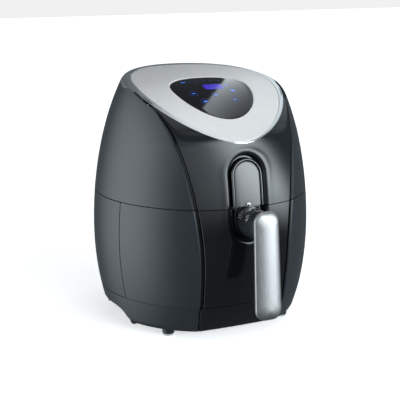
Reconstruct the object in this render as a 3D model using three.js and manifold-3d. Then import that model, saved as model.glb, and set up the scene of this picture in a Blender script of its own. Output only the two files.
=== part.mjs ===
// Air fryer with a pull-out basket drawer, a sloping touch-panel top and an upright bar grip.
// Millimetres, +Z up, the front faces -Y, the pads of the feet stand on Z = 0.
// Pieces are drawn about the body's vertical axis and moved at the end so the whole is centred.
import * as THREE from 'three';
import { mergeVertices } from 'three/addons/utils/BufferGeometryUtils.js';
import Module from 'manifold-3d';

const wasm = await Module();
wasm.setup();

// ---- driving dimensions -------------------------------------------------
const WIDEST_RADIUS = 138.7;       // of the egg-shaped body
const WIDEST_HEIGHT = 118;
const UPPER_REACH = 271;           // half height of the ellipse above the widest point
const LOWER_REACH = 232;           // and of the one below it
const FASCIA_DEPTH = 139;          // front of the fascia from the axis, at its fullest
const FASCIA_HEIGHT = 125;
const FASCIA_UPPER_REACH = 246;
const FASCIA_LOWER_REACH = 192;
const CREASE_LEVEL = 90;            // height where the creases stand closest together
const CREASE_DEGREES = 24.3;        // half angle between them there
const CREASE_SPREAD_LOW = 2;        // degrees added 76 mm below that
const CREASE_SPREAD_HIGH = 5.6;     // degrees added 100 mm above it
const CREASE_FLARE = 0.026;         // late flare to the ring, in degrees
const CREASE_SWELL = 0.033;        // how far the creases stand out of the round body
const SEAM_UPPER = 167;            // between the upper and the lower housing
const SEAM_LOWER = 43.7;           // between the drawer front and the base
const BASE_EDGE = 13.6;            // sharp lower contour of the base
const BASE_BOTTOM = 8.5;
const DRAWER_JOINT_Y = -46;        // side joint between drawer front and housing
const REAR_JOINT_Y = 62;           // side joint between housing and rear cover
const WALL = 3;
const GAP = 0.5;                   // seam between outside panels
const CLEAR = 0.3;                 // between pieces that sit on each other
const FRONT_STEPS = 10;            // facets across the fascia
const ROUND_STEPS = 38;            // facets round the rest of the body

const TOP_THICKNESS = 4;           // ring, plate and glass together with their carrier
const DOME_Z = 305.6;              // height of the sloping top over the axis
const DOME_SLOPE = 0.206;
const DOME_FRONT_BEND = 0.00249;
const DOME_REAR_BEND = 0.001;
const DOME_CROSS_BEND = 0.000238;
const DOME_GRID = 152;             // half side of the square the dome is drawn over
const TOP_MIDDLE_Y = -20;          // widest line of the plate and of the ring
const RING_HALF_WIDTH = 98.5;
const RING_FRONT_Y = -122.6;
const RING_REAR_Y = 99;
const PLATE_HALF_WIDTH = 91.5;
const PLATE_FRONT_Y = -121;
const PLATE_REAR_Y = 74;
const FRONT_POWER = 1.8;
const REAR_POWER = 2.4;

const RECESS_HALF_WIDTH = 25.6;
const RECESS_TOP = 231;
const RECESS_BOTTOM = 125;
const RECESS_STEP = 4;             // depth of the outer step of the recess
const RECESS_DEPTH = 9;
const FRAME_HALF_WIDTH = 20.4;
const PLAQUE_HALF_WIDTH = 17.3;
const PLAQUE_TOP = 221.5;

const ARM_HALF_WIDTH = 15;
const ARM_TOP = 166.5;
const ARM_BOTTOM = 132.5;
const ARM_FRONT_Y = -171;
const GRIP_TOP = 171.5;
const GRIP_BOTTOM = 43;
const GRIP_TOP_Y = -181.5;
const GRIP_LEAN = 0.082;           // outward lean per millimetre of drop
const GRIP_HALF_WIDTH = 15;
const BUTTON_Y = -147;
const BUTTON_RADIUS = 7.5;

const PAN_HALF_WIDTH = 95;
const PAN_REAR_Y = 86;
const PAN_FRONT_Y = -106;
const PAN_FLOOR = 52;
const PAN_RIM = 158;
const BASKET_INSET = 6;
const BASKET_FLOOR = 65;
const BASKET_RIM = 156;
const SHEET = 1.2;

const SHAFT_RADIUS = 3;
const BORE_RADIUS = 3.05;
const ROUND = 32;                  // facets of running surfaces

const FEET = [[-80, -77], [80, -77], [-88, 70], [88, 70]];

const group = new THREE.Group();
group.name = 'air_fryer';

// ---- helpers ------------------------------------------------------------
function solid(geometry) {
  const bare = geometry.clone();
  bare.deleteAttribute('normal');
  bare.deleteAttribute('uv');
  const merged = mergeVertices(bare, 1e-4);
  return new wasm.Manifold(new wasm.Mesh({
    numProp: 3,
    vertProperties: new Float32Array(merged.attributes.position.array),
    triVerts: new Uint32Array(merged.index.array),
  }));
}

function solidFrom(points, triangles) {
  return new wasm.Manifold(new wasm.Mesh({
    numProp: 3,
    vertProperties: new Float32Array(points.flat()),
    triVerts: new Uint32Array(triangles.flat()),
  }));
}

function geometryOf(shape) {
  const mesh = shape.getMesh();
  const geometry = new THREE.BufferGeometry();
  const stride = mesh.numProp;
  const positions = new Float32Array(mesh.numVert * 3);
  for (let i = 0; i < mesh.numVert; i += 1) {
    positions.set(mesh.vertProperties.subarray(i * stride, i * stride + 3), i * 3);
  }
  geometry.setAttribute('position', new THREE.BufferAttribute(positions, 3));
  geometry.setIndex(new THREE.BufferAttribute(new Uint32Array(mesh.triVerts), 1));
  geometry.computeVertexNormals();
  return geometry;
}

const FINISH = {
  satin_shell: { color: 0x3b4146, roughness: 0.42, metalness: 0.0 },
  gloss_black: { color: 0x14171a, roughness: 0.12, metalness: 0.0 },
  matte_black: { color: 0x17181a, roughness: 0.6, metalness: 0.0 },
  brushed_metal: { color: 0xb9bdc0, roughness: 0.34, metalness: 1.0 },
  satin_silver: { color: 0xc3c6c8, roughness: 0.3, metalness: 1.0 },
  chrome: { color: 0xd9dcde, roughness: 0.06, metalness: 1.0 },
  glass_black: { color: 0x0a0b0e, roughness: 0.05, metalness: 0.0 },
  clear: { color: 0xdfe6e8, roughness: 0.05, metalness: 0.0, opacity: 0.35, transparent: true },
  nonstick: { color: 0x202122, roughness: 0.5, metalness: 0.2 },
  sheet_steel: { color: 0xa7a9ab, roughness: 0.4, metalness: 1.0 },
  board: { color: 0x1d5c38, roughness: 0.5, metalness: 0.0 },
  pad: { color: 0xc9cbca, roughness: 0.55, metalness: 0.0 },
};

function place(name, shape, finish) {
  const material = new THREE.MeshStandardMaterial({ name: finish, ...FINISH[finish] });
  const mesh = new THREE.Mesh(geometryOf(shape), material);
  mesh.name = name;
  group.add(mesh);
}

function box(x0, x1, y0, y1, z0, z1) {
  const geometry = new THREE.BoxGeometry(x1 - x0, y1 - y0, z1 - z0);
  geometry.translate((x0 + x1) / 2, (y0 + y1) / 2, (z0 + z1) / 2);
  return solid(geometry);
}

// Upright cylinder or cone.
function post(x, y, z0, z1, radius, topRadius = radius, sides = 20) {
  const geometry = new THREE.CylinderGeometry(topRadius, radius, z1 - z0, sides);
  geometry.rotateX(Math.PI / 2);
  geometry.translate(x, y, (z0 + z1) / 2);
  return solid(geometry);
}

// Cylinder or cone along Y.
function rod(x, z, y0, y1, radius, endRadius = radius, sides = 28) {
  const geometry = new THREE.CylinderGeometry(endRadius, radius, y1 - y0, sides);
  geometry.translate(x, (y0 + y1) / 2, z);
  return solid(geometry);
}

// Closed solid through a stack of outlines that all have the same number of points.
function loft(rings) {
  const count = rings[0].length;
  const points = rings.flat();
  const triangles = [];
  for (let r = 0; r + 1 < rings.length; r += 1) {
    for (let i = 0; i < count; i += 1) {
      const a = r * count + i;
      const b = r * count + (i + 1) % count;
      triangles.push([a, b, b + count], [a, b + count, a + count]);
    }
  }
  const last = (rings.length - 1) * count;
  for (let i = 1; i + 1 < count; i += 1) {
    triangles.push([0, i + 1, i], [last, last + i, last + i + 1]);
  }
  return solidFrom(points, triangles);
}

// Upright prism over a plan outline [[x, y], ...].
function prismZ(outline, z0, z1) {
  return loft([z0, z1].map((z) => outline.map(([x, y]) => [x, y, z])));
}

// Prism along Y over an outline [[x, z], ...] that runs counterclockwise as seen from the front.
function prismY(outline, y0, y1) {
  return loft([y1, y0].map((y) => outline.map(([x, z]) => [x, y, z])));
}

// Superellipse plan with its own front and rear depths.
function ovalPlan(halfWidth, frontY, rearY, middleY, frontPower, rearPower, steps = 48) {
  return Array.from({ length: steps }, (_, i) => {
    const angle = (i / steps) * 2 * Math.PI;
    const c = Math.cos(angle);
    const s = Math.sin(angle);
    const power = s < 0 ? frontPower : rearPower;
    const depth = s < 0 ? middleY - frontY : rearY - middleY;
    const x = halfWidth * Math.sign(c) * Math.abs(c) ** (2 / power);
    const y = middleY + depth * Math.sign(s) * Math.abs(s) ** (2 / power);
    return [x, y];
  });
}

// Oblong with round ends, upright in the XZ plane.
function oblong(halfWidth, bottom, top, steps = 12) {
  const arc = (z, from) => Array.from({ length: steps + 1 }, (_, i) => {
    const angle = from + (i / steps) * Math.PI;
    return [halfWidth * Math.cos(angle), z + halfWidth * Math.sin(angle)];
  });
  return [...arc(top - halfWidth, 0), ...arc(bottom + halfWidth, Math.PI)];
}

// Round wire along a curve.
function wire(curve, radius, segments, sides) {
  const frames = curve.computeFrenetFrames(segments, false);
  const rings = [];
  for (let i = 0; i <= segments; i += 1) {
    const at = curve.getPointAt(i / segments);
    const ring = [];
    for (let k = 0; k < sides; k += 1) {
      const angle = (k / sides) * 2 * Math.PI;
      const out = frames.normals[i].clone().multiplyScalar(Math.cos(angle) * radius)
        .addScaledVector(frames.binormals[i], Math.sin(angle) * radius);
      ring.push([at.x + out.x, at.y + out.y, at.z + out.z]);
    }
    rings.push(ring);
  }
  return loft(rings);
}

function ellipseShare(height, reach) {
  return Math.sqrt(Math.max(0, 1 - (height / reach) ** 2));
}

// ---- the outer form -----------------------------------------------------
function bodyRadius(z) {
  const height = z - WIDEST_HEIGHT;
  return WIDEST_RADIUS * ellipseShare(height, height > 0 ? UPPER_REACH : LOWER_REACH);
}

function fasciaDepth(z) {
  const height = z - FASCIA_HEIGHT;
  return FASCIA_DEPTH * ellipseShare(height, height > 0 ? FASCIA_UPPER_REACH : FASCIA_LOWER_REACH);
}

// Half angle between the two creases, seen from the axis: narrow at the drawer, wide at the top.
function creaseAngle(z) {
  const low = Math.max(0, CREASE_LEVEL - z) / 76;
  const high = Math.max(0, z - CREASE_LEVEL) / 100;
  const flare = CREASE_FLARE * high ** 9.4;
  const degrees = CREASE_DEGREES + CREASE_SPREAD_LOW * low ** 2 + CREASE_SPREAD_HIGH * high ** 2 + flare;
  return THREE.MathUtils.degToRad(degrees);
}

function creaseSwell(z) {
  const baseFade = Math.min(1, Math.max(0, (z - BASE_EDGE) / (SEAM_LOWER - BASE_EDGE)));
  const topFade = Math.min(1, Math.max(0, (300 - z) / 60));
  return CREASE_SWELL * Math.min(baseFade, topFade);
}

function creasePoint(z) {
  const radius = bodyRadius(z) * (1 + creaseSwell(z));
  const angle = creaseAngle(z);
  return [radius * Math.sin(angle), -radius * Math.cos(angle)];
}

// One horizontal outline of the body, counterclockwise from above, starting at the left crease.
function bodyRing(z, inset, shapeZ = z) {
  const [creaseX, creaseY] = creasePoint(shapeZ);
  const angle = creaseAngle(shapeZ);
  const fullness = fasciaDepth(shapeZ) + creaseY;
  const ring = [];
  for (let i = 0; i < FRONT_STEPS; i += 1) {
    const share = -1 + (2 * i) / FRONT_STEPS;
    ring.push([creaseX * share, creaseY - fullness * (1 - share * share)]);
  }
  for (let i = 0; i < ROUND_STEPS; i += 1) {
    const turn = angle + (i / ROUND_STEPS) * 2 * (Math.PI - angle);
    const nearest = Math.min(turn, 2 * Math.PI - turn) - angle;
    const radius = bodyRadius(shapeZ) * (1 + creaseSwell(shapeZ) * Math.exp(-nearest / 0.31));
    ring.push([radius * Math.sin(turn), -radius * Math.cos(turn)]);
  }
  return ring.map(([x, y]) => {
    const length = Math.hypot(x, y);
    const kept = (length - inset) / length;
    return [x * kept, y * kept, z];
  });
}

// Heights of the body's outlines, closer together where it curves faster.
const BODY_LEVELS = [
  BASE_EDGE, 24, 36, 52, 75, 104, 136, 167, 193, 215, 234, 251, 266, 279, 291, 302, 312, 324,
];

function bodySolid(inset) {
  const rings = BODY_LEVELS.map((z) => bodyRing(z, inset));
  if (inset === 0) {
    rings.unshift(bodyRing(BASE_BOTTOM + 1.6, 2.2, BASE_EDGE));
    rings.unshift(bodyRing(BASE_BOTTOM, 5.5, BASE_EDGE));
  }
  return loft(rings);
}

// Interior form with fewer facets.
function roomSolid(inset, bottom) {
  const levels = [bottom, 36, 75, 136, 193, 234, 266, 291, 318];
  return loft(levels.map((z, i) => bodyRing(z, inset, i === 0 ? BASE_EDGE : z)));
}

function domeZ(x, y) {
  const bend = y < 0 ? DOME_FRONT_BEND : DOME_REAR_BEND;
  return DOME_Z + DOME_SLOPE * y - bend * y * y - DOME_CROSS_BEND * x * x;
}

// Everything under the sloping top surface, lowered by a drop.
function underDome(drop) {
  const columns = 10;
  const rows = 20;
  const floorZ = -10;
  const points = [];
  for (let j = 0; j <= rows; j += 1) {
    for (let i = 0; i <= columns; i += 1) {
      const x = -DOME_GRID + (2 * DOME_GRID * i) / columns;
      const y = -DOME_GRID + (2 * DOME_GRID * j) / rows;
      points.push([x, y, domeZ(x, y) - drop]);
    }
  }
  const offset = points.length;
  points.push(...points.map(([x, y]) => [x, y, floorZ]));
  const triangles = [];
  const quad = (a, b, c, d) => triangles.push([a, b, c], [a, c, d]);
  const at = (i, j) => j * (columns + 1) + i;
  for (let j = 0; j < rows; j += 1) {
    for (let i = 0; i < columns; i += 1) {
      quad(at(i, j), at(i + 1, j), at(i + 1, j + 1), at(i, j + 1));
      quad(at(i, j) + offset, at(i, j + 1) + offset, at(i + 1, j + 1) + offset, at(i + 1, j) + offset);
    }
  }
  for (let i = 0; i < columns; i += 1) {
    quad(at(i, 0) + offset, at(i + 1, 0) + offset, at(i + 1, 0), at(i, 0));
    quad(at(i + 1, rows) + offset, at(i, rows) + offset, at(i, rows), at(i + 1, rows));
  }
  for (let j = 0; j < rows; j += 1) {
    quad(at(0, j + 1) + offset, at(0, j) + offset, at(0, j), at(0, j + 1));
    quad(at(columns, j) + offset, at(columns, j + 1) + offset, at(columns, j + 1), at(columns, j));
  }
  return solidFrom(points, triangles);
}

// Region between the two creases, seen from the front, widened by a margin.
function creaseRegion(margin) {
  const heights = [0, ...BODY_LEVELS, 330];
  const side = heights.map((z) => [creasePoint(Math.min(299, Math.max(BASE_EDGE, z)))[0] + margin, z]);
  const otherSide = side.map(([x, z]) => [-x, z]).reverse();
  return prismY([...side, ...otherSide], -170, -12);
}

// Outer edge of the ring on its front half, as points [x, y, z] from the front tip to the side.
const RING_EDGE = Array.from({ length: 61 }, (_, i) => {
  const angle = (1 - i / 60) * (Math.PI / 2);
  const x = RING_HALF_WIDTH * Math.cos(angle) ** (2 / FRONT_POWER);
  const y = TOP_MIDDLE_Y - (TOP_MIDDLE_Y - RING_FRONT_Y) * Math.sin(angle) ** (2 / FRONT_POWER);
  return [x, y, domeZ(x, y)];
});

function ringEdgeAt(z) {
  const next = RING_EDGE.findIndex((point) => point[2] > z);
  if (next < 0) return RING_EDGE[60];
  if (next === 0) return RING_EDGE[0];
  const [a, b] = [RING_EDGE[next - 1], RING_EDGE[next]];
  const share = (z - a[2]) / (b[2] - a[2]);
  return [a[0] + (b[0] - a[0]) * share, a[1] + (b[1] - a[1]) * share, z];
}

const HOLLOW = 0.0045;              // how strongly the fascia turns hollow beside the ring
const HOLLOW_RISE = 30;             // height over the ring's tip where the hollow is full

// Point of the upper fascia at a height: share 0 is the middle, -1 and 1 are the creases.
// Above the ring's front tip the surface bends in to meet the ring's edge and turns hollow.
function fasciaPoint(share, z) {
  const [creaseX, creaseY] = creasePoint(z);
  const x = Math.abs(share) * creaseX;
  const fullness = fasciaDepth(z) + creaseY;
  const bowedY = (across) => creaseY - fullness * (1 - (across / creaseX) ** 2);
  const rise = z - RING_EDGE[0][2];
  if (rise <= 0) return [share * creaseX, bowedY(x)];
  const [edgeX, edgeY] = ringEdgeAt(z);
  const toEdge = Math.min(1, (creaseX - x) / Math.max(creaseX - edgeX, 0.5));
  const smooth = (value) => value * value * (3 - 2 * value);
  const meet = smooth(Math.min(1, rise / (HOLLOW_RISE / 2)));
  const hollow = HOLLOW * smooth(Math.min(1, rise / HOLLOW_RISE)) * Math.max(0, x - edgeX) * (creaseX - x);
  return [share * creaseX, bowedY(x) + (edgeY - bowedY(edgeX)) * toEdge * meet + hollow];
}

// Height where the column at a share reaches the ring's edge.
function columnTop(share) {
  let low = RING_EDGE[0][2];
  let high = RING_EDGE[60][2];
  for (let i = 0; i < 40; i += 1) {
    const middle = (low + high) / 2;
    if (ringEdgeAt(middle)[0] / creasePoint(middle)[0] < Math.abs(share)) low = middle;
    else high = middle;
  }
  return low;
}

function fasciaPatch(z0) {
  const columns = 20;
  const rows = 11;
  const grid = (inset, drop) => Array.from({ length: rows + 1 }, (_, j) => (
    Array.from({ length: columns + 1 }, (__, i) => {
      const share = 0.985 * Math.sin(((2 * i) / columns - 1) * (Math.PI / 2));
      const z = z0 + (columnTop(share) - CLEAR - z0) * (j / rows);
      const [x, y] = fasciaPoint(share, z);
      const kept = 1 - inset / Math.hypot(x, y);
      return [x * kept, y * kept, z - drop * (j / rows)];
    })
  ));
  const wide = columns + 1;
  const points = [...grid(0, 0).flat(), ...grid(WALL, 1).flat()];
  const back = (rows + 1) * wide;
  const triangles = [];
  const quad = (a, b, c, d) => triangles.push([a, b, c], [a, c, d]);
  for (let j = 0; j < rows; j += 1) {
    for (let i = 0; i < columns; i += 1) {
      const a = j * wide + i;
      quad(a, a + 1, a + 1 + wide, a + wide);
      quad(back + a, back + a + wide, back + a + 1 + wide, back + a + 1);
    }
    const left = j * wide;
    const right = left + columns;
    quad(left, left + wide, back + left + wide, back + left);
    quad(right, back + right, back + right + wide, right + wide);
  }
  for (let i = 0; i < columns; i += 1) {
    const top = rows * wide + i;
    quad(i + 1, i, back + i, back + i + 1);
    quad(top, top + 1, back + top + 1, back + top);
  }
  return solidFrom(points, triangles);
}

const outer = bodySolid(0).intersect(underDome(0));
const wallRoom = roomSolid(WALL, BASE_BOTTOM + WALL).intersect(underDome(TOP_THICKNESS + WALL));
const shell = outer.subtract(wallRoom);

function topPlan(halfWidth, frontY, rearY, margin) {
  return ovalPlan(halfWidth + margin, frontY - margin, rearY + margin, TOP_MIDDLE_Y, FRONT_POWER, REAR_POWER);
}

const ringPlan = topPlan(RING_HALF_WIDTH, RING_FRONT_Y, RING_REAR_Y, 0);
const platePlan = topPlan(PLATE_HALF_WIDTH, PLATE_FRONT_Y, PLATE_REAR_Y, 0);
const plateHolePlan = topPlan(PLATE_HALF_WIDTH, PLATE_FRONT_Y, PLATE_REAR_Y, CLEAR);
const glassPlan = ovalPlan(52, -90.5, 2.7, -29, 1.92, 2.2);
const glassHolePlan = ovalPlan(52.3, -90.8, 3, -29, 1.92, 2.2);

const topLayer = outer.subtract(underDome(TOP_THICKNESS));
const topTool = prismZ(topPlan(RING_HALF_WIDTH, RING_FRONT_Y, RING_REAR_Y, CLEAR), 180, 330)
  .subtract(underDome(TOP_THICKNESS + CLEAR));

function slab(z0, z1) {
  return box(-160, 160, -200, 160, z0, z1);
}

function sideOf(sign) {
  return sign < 0 ? box(-160, 0, -200, 160, -10, 330) : box(0, 160, -200, 160, -10, 330);
}

// The middle part of the body's form, drawn in by an inset, for pieces that follow the fascia.
function formInside(inset) {
  const levels = BODY_LEVELS.filter((z) => z > 100 && z < 260);
  return loft(levels.map((z) => bodyRing(z, inset)));
}

// ---- handle recess ------------------------------------------------------
// The recess is a shallow oblong well with a bevelled rim, half in the upper fascia, half in the drawer.
function recessRoom() {
  const floorInset = 3;
  const rim = oblong(RECESS_HALF_WIDTH, RECESS_BOTTOM, RECESS_TOP);
  const floor = oblong(RECESS_HALF_WIDTH - floorInset, RECESS_BOTTOM + floorInset, RECESS_TOP - floorInset);
  return frontPrism(rim).subtract(formInside(RECESS_STEP))
    .add(frontPrism(floor).subtract(formInside(RECESS_DEPTH)));
}

function frontPrism(outline) {
  return prismY(outline, -170, -95);
}

function withRecess(panel, z0, z1) {
  const blockOutline = oblong(RECESS_HALF_WIDTH + WALL, RECESS_BOTTOM - WALL, RECESS_TOP + WALL);
  const block = frontPrism(blockOutline)
    .intersect(outer)
    .subtract(formInside(RECESS_DEPTH + WALL))
    .intersect(slab(z0, z1));
  return panel.add(block).subtract(recessRoom());
}

// ---- outside panels -----------------------------------------------------
function makeUpperHousing() {
  const upper = shell.intersect(slab(SEAM_UPPER + GAP / 2, 330)).subtract(topTool);
  const front = upper.intersect(box(-160, 160, -200, REAR_JOINT_Y - GAP / 2, 0, 330));
  const sides = front.subtract(creaseRegion(GAP / 2));
  place('upper_shell_left', sides.intersect(sideOf(-1)), 'satin_shell');
  place('upper_shell_right', sides.intersect(sideOf(1)), 'satin_shell');
  const fascia = withRecess(fasciaPatch(SEAM_UPPER + GAP / 2), SEAM_UPPER + GAP / 2, 330);
  place('upper_fascia', fascia.subtract(topTool), 'gloss_black');
}

function makeLowerHousing() {
  const lower = shell.intersect(slab(SEAM_LOWER + GAP / 2, SEAM_UPPER - GAP / 2));
  const flanks = lower.intersect(box(-160, 160, DRAWER_JOINT_Y + GAP / 2, REAR_JOINT_Y - GAP / 2, 0, 330));
  place('lower_housing_left', flanks.intersect(sideOf(-1)), 'satin_shell');
  place('lower_housing_right', flanks.intersect(sideOf(1)), 'satin_shell');
}

const GRILLE = { halfWidth: 46, bottom: 196, top: 262 };

function makeRearCover() {
  const rear = shell.subtract(topTool)
    .intersect(box(-160, 160, REAR_JOINT_Y + GAP / 2, 160, SEAM_LOWER + GAP / 2, 330));
  const { halfWidth, bottom, top } = GRILLE;
  const window = box(-halfWidth - CLEAR, halfWidth + CLEAR, 80, 160, bottom - CLEAR, top + CLEAR);
  const cordHole = rod(0, 62, 110, 150, 7.8);
  place('rear_cover', rear.subtract(window).subtract(cordHole), 'matte_black');

  let grille = shell.intersect(box(-halfWidth, halfWidth, 80, 160, bottom, top));
  const slots = 7;
  const pitch = (top - bottom) / slots;
  for (let i = 0; i < slots; i += 1) {
    const middle = bottom + pitch * (i + 0.5);
    for (const sign of [-1, 1]) {
      const inner = sign < 0 ? -halfWidth + 4 : 2;
      grille = grille.subtract(box(inner, inner + halfWidth - 6, 80, 160, middle - 1.8, middle + 1.8));
    }
  }
  place('exhaust_grille', grille, 'matte_black');

  const gland = rod(0, 62, 127, 137, 7.4).add(rod(0, 62, 136, 142, 9.5, 7.5));
  place('cord_gland', gland.subtract(rod(0, 62, 120, 150, 3.6)), 'matte_black');
}

function handGripCut(margin) {
  const profile = [[-44, 0], [-39, 12], [-36, 19], [-28, 24.5], [-16, 27], [26, 27], [38, 24.5], [46, 19],
    [49, 12], [54, 0]];
  const rings = [-150, 150].map((x) => profile.map(([y, z]) => [x, y, z + (z > 0 ? margin : 0)]));
  return loft(rings.map((ring) => ring.slice().reverse()));
}

function makeBase() {
  const whole = shell.intersect(slab(0, SEAM_LOWER - GAP / 2));
  const cut = handGripCut(0).subtract(box(-92, 92, -200, 160, -10, 60));
  const liner = outer.intersect(handGripCut(WALL).subtract(box(-92 + WALL, 92 - WALL, -200, 160, -10, 60)));
  const withGrips = whole.add(liner).subtract(cut);
  const frontTool = creaseRegion(-GAP / 2).intersect(box(-160, 160, -200, -95, -10, 60));
  const frontHole = creaseRegion(GAP / 2).intersect(box(-160, 160, -200, -94.5, -10, 60));
  place('base_pan', withGrips.subtract(frontHole), 'satin_shell');
  place('base_front', withGrips.intersect(frontTool), 'gloss_black');
}

function makeFeet() {
  const names = ['front_left', 'front_right', 'rear_left', 'rear_right'];
  FEET.forEach(([x, y], i) => {
    const stem = post(x, y, 2.6, BASE_BOTTOM - CLEAR, 7.4, 7.8);
    place(`foot_${names[i]}`, stem, 'matte_black');
    place(`pad_${names[i]}`, post(x, y, 0, 2.4, 6.6, 7), 'pad');
  });
}

// ---- sloping top --------------------------------------------------------
function makeTop() {
  const ring = topLayer.intersect(prismZ(ringPlan, 180, 330)).subtract(prismZ(plateHolePlan, 180, 330));
  place('trim_ring', ring, 'satin_silver');
  const plate = topLayer.intersect(prismZ(platePlan, 180, 330)).subtract(prismZ(glassHolePlan, 180, 330));
  place('top_plate', plate, 'brushed_metal');
  place('touch_glass', topLayer.intersect(prismZ(glassPlan, 180, 330)), 'glass_black');
}

// ---- plaque and its frame -----------------------------------------------
function makePlaque() {
  const above = slab(SEAM_UPPER + 1.5, 330);
  const seat = formInside(RECESS_DEPTH - CLEAR);
  const frame = frontPrism(oblong(FRAME_HALF_WIDTH, 100, PLAQUE_TOP + 3.2))
    .subtract(frontPrism(oblong(PLAQUE_HALF_WIDTH + CLEAR, 100, PLAQUE_TOP + CLEAR)))
    .subtract(seat)
    .intersect(above)
    .intersect(formInside(0.2));
  place('plaque_frame', frame, 'chrome');
  const plaque = frontPrism(oblong(PLAQUE_HALF_WIDTH, 100, PLAQUE_TOP))
    .subtract(seat)
    .intersect(above)
    .intersect(formInside(1.4));
  place('plaque', plaque, 'satin_silver');
}

// ---- drawer -------------------------------------------------------------
function panPlan(inset) {
  return ovalPlan(PAN_HALF_WIDTH - inset, PAN_FRONT_Y + inset, PAN_REAR_Y - inset, -8, 3.2, 3.2, 48);
}

// Open tub with a rolled rim: outer draft, inner hollow.
function tub(inset, floor, rim, draft) {
  const ringAt = (grow, z) => panPlan(inset + grow).map(([x, y]) => [x, y, z]);
  const outside = loft([ringAt(draft + 7, floor), ringAt(draft, floor + 7), ringAt(3, rim - 5),
    ringAt(0, rim - 3.5), ringAt(0, rim)]);
  const hollow = loft([ringAt(draft + 7 + SHEET, floor + SHEET), ringAt(draft + SHEET, floor + 7 + SHEET),
    ringAt(3 + SHEET, rim - 5), ringAt(3 + SHEET, rim + 5)]);
  return outside.subtract(hollow);
}

function makeDrawerPanels() {
  const lower = shell.intersect(slab(SEAM_LOWER + GAP / 2, SEAM_UPPER - GAP / 2));
  const front = lower.intersect(box(-160, 160, -200, DRAWER_JOINT_Y - GAP / 2, 0, 330));
  const sides = front.subtract(creaseRegion(GAP / 2));
  place('drawer_side_left', sides.intersect(sideOf(-1)), 'satin_shell');
  place('drawer_side_right', sides.intersect(sideOf(1)), 'satin_shell');
  const panel = front.intersect(creaseRegion(-GAP / 2));
  const fascia = withRecess(panel, SEAM_LOWER + GAP / 2, SEAM_UPPER - GAP / 2);
  place('drawer_fascia', fascia, 'gloss_black');
  const backRoom = roomSolid(WALL + CLEAR, BASE_BOTTOM + WALL).intersect(slab(48, 162));
  const frame = backRoom.intersect(box(-160, 160, -118, -109, 0, 330));
  const frameRoom = backRoom.intersect(box(-160, 160, -122, -111.5, 0, 330))
    .intersect(box(-60, 60, -200, 0, 58, 152));
  place('drawer_frame', frame.subtract(frameRoom), 'matte_black');
}

function makePanAndBasket() {
  place('drawer_pan', tub(0, PAN_FLOOR, PAN_RIM, 6), 'nonstick');
  let basket = tub(BASKET_INSET, BASKET_FLOOR, BASKET_RIM, 5);
  const pitch = 21;
  for (let row = -3; row <= 3; row += 1) {
    for (let column = -3; column <= 3; column += 1) {
      const x = (column + (row % 2 === 0 ? 0 : 0.5)) * pitch;
      const y = -10 + row * pitch * 0.87;
      if (Math.hypot(x, y + 10) < 66) {
        basket = basket.subtract(post(x, y, BASKET_FLOOR - 3, BASKET_FLOOR + 5, 3.5, 3.5, 8));
      }
    }
  }
  place('basket', basket, 'nonstick');
  const tang = box(-11, 11, -108.7, -98, 158.5, 160)
    .add(box(-11, 11, -99.2, -98, 156.3, 160));
  place('basket_bracket', tang, 'sheet_steel');
}

function makeHandle() {
  const armOutline = oblong(ARM_HALF_WIDTH, ARM_BOTTOM, ARM_TOP);
  const well = post(0, BUTTON_Y, 145, 175, BUTTON_RADIUS + CLEAR, BUTTON_RADIUS + CLEAR, ROUND);
  const seat = formInside(RECESS_DEPTH - CLEAR);
  const arm = prismY(armOutline, ARM_FRONT_Y, -100).subtract(seat).subtract(well);
  const collarOuter = oblong(ARM_HALF_WIDTH + 2.6, ARM_BOTTOM - 2.6, 300);
  const collarInner = oblong(ARM_HALF_WIDTH + CLEAR, ARM_BOTTOM - CLEAR, 300);
  const collar = frontPrism(collarOuter)
    .subtract(frontPrism(collarInner))
    .subtract(seat)
    .intersect(formInside(RECESS_STEP))
    .intersect(slab(0, SEAM_UPPER - 2));
  place('handle_arm', arm, 'matte_black');
  place('arm_collar', collar, 'gloss_black');

  const backOutline = gripOutline(11.5, GRIP_TOP - 3, GRIP_BOTTOM + 3);
  place('grip_back', gripBar(backOutline, 4.6, 10.2), 'matte_black');
  const frontOutline = gripOutline(GRIP_HALF_WIDTH, GRIP_TOP, GRIP_BOTTOM);
  const channel = gripOutline(11.5 + CLEAR, GRIP_TOP - 3 + CLEAR, GRIP_BOTTOM + 3 - CLEAR);
  const front = gripBar(frontOutline, -1.6, 7.5).subtract(gripBar(channel, 4.3, 20));
  place('grip_front', front, 'satin_silver');
}

// Upright rounded bar outline that widens slightly downwards.
function gripOutline(halfWidth, top, bottom) {
  const corner = 9;
  const steps = 6;
  const widthAt = (z) => halfWidth + 1.4 * ((GRIP_TOP - z) / (GRIP_TOP - GRIP_BOTTOM));
  const quarter = (z, xSign, from) => Array.from({ length: steps + 1 }, (_, i) => {
    const angle = from + (i / steps) * (Math.PI / 2);
    const middleX = xSign * (widthAt(z) - corner);
    return [middleX + corner * Math.cos(angle), z + corner * Math.sin(angle)];
  });
  return [
    ...quarter(top - corner, 1, 0),
    ...quarter(top - corner, -1, Math.PI / 2),
    ...quarter(bottom + corner, -1, Math.PI),
    ...quarter(bottom + corner, 1, 1.5 * Math.PI),
  ];
}

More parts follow.
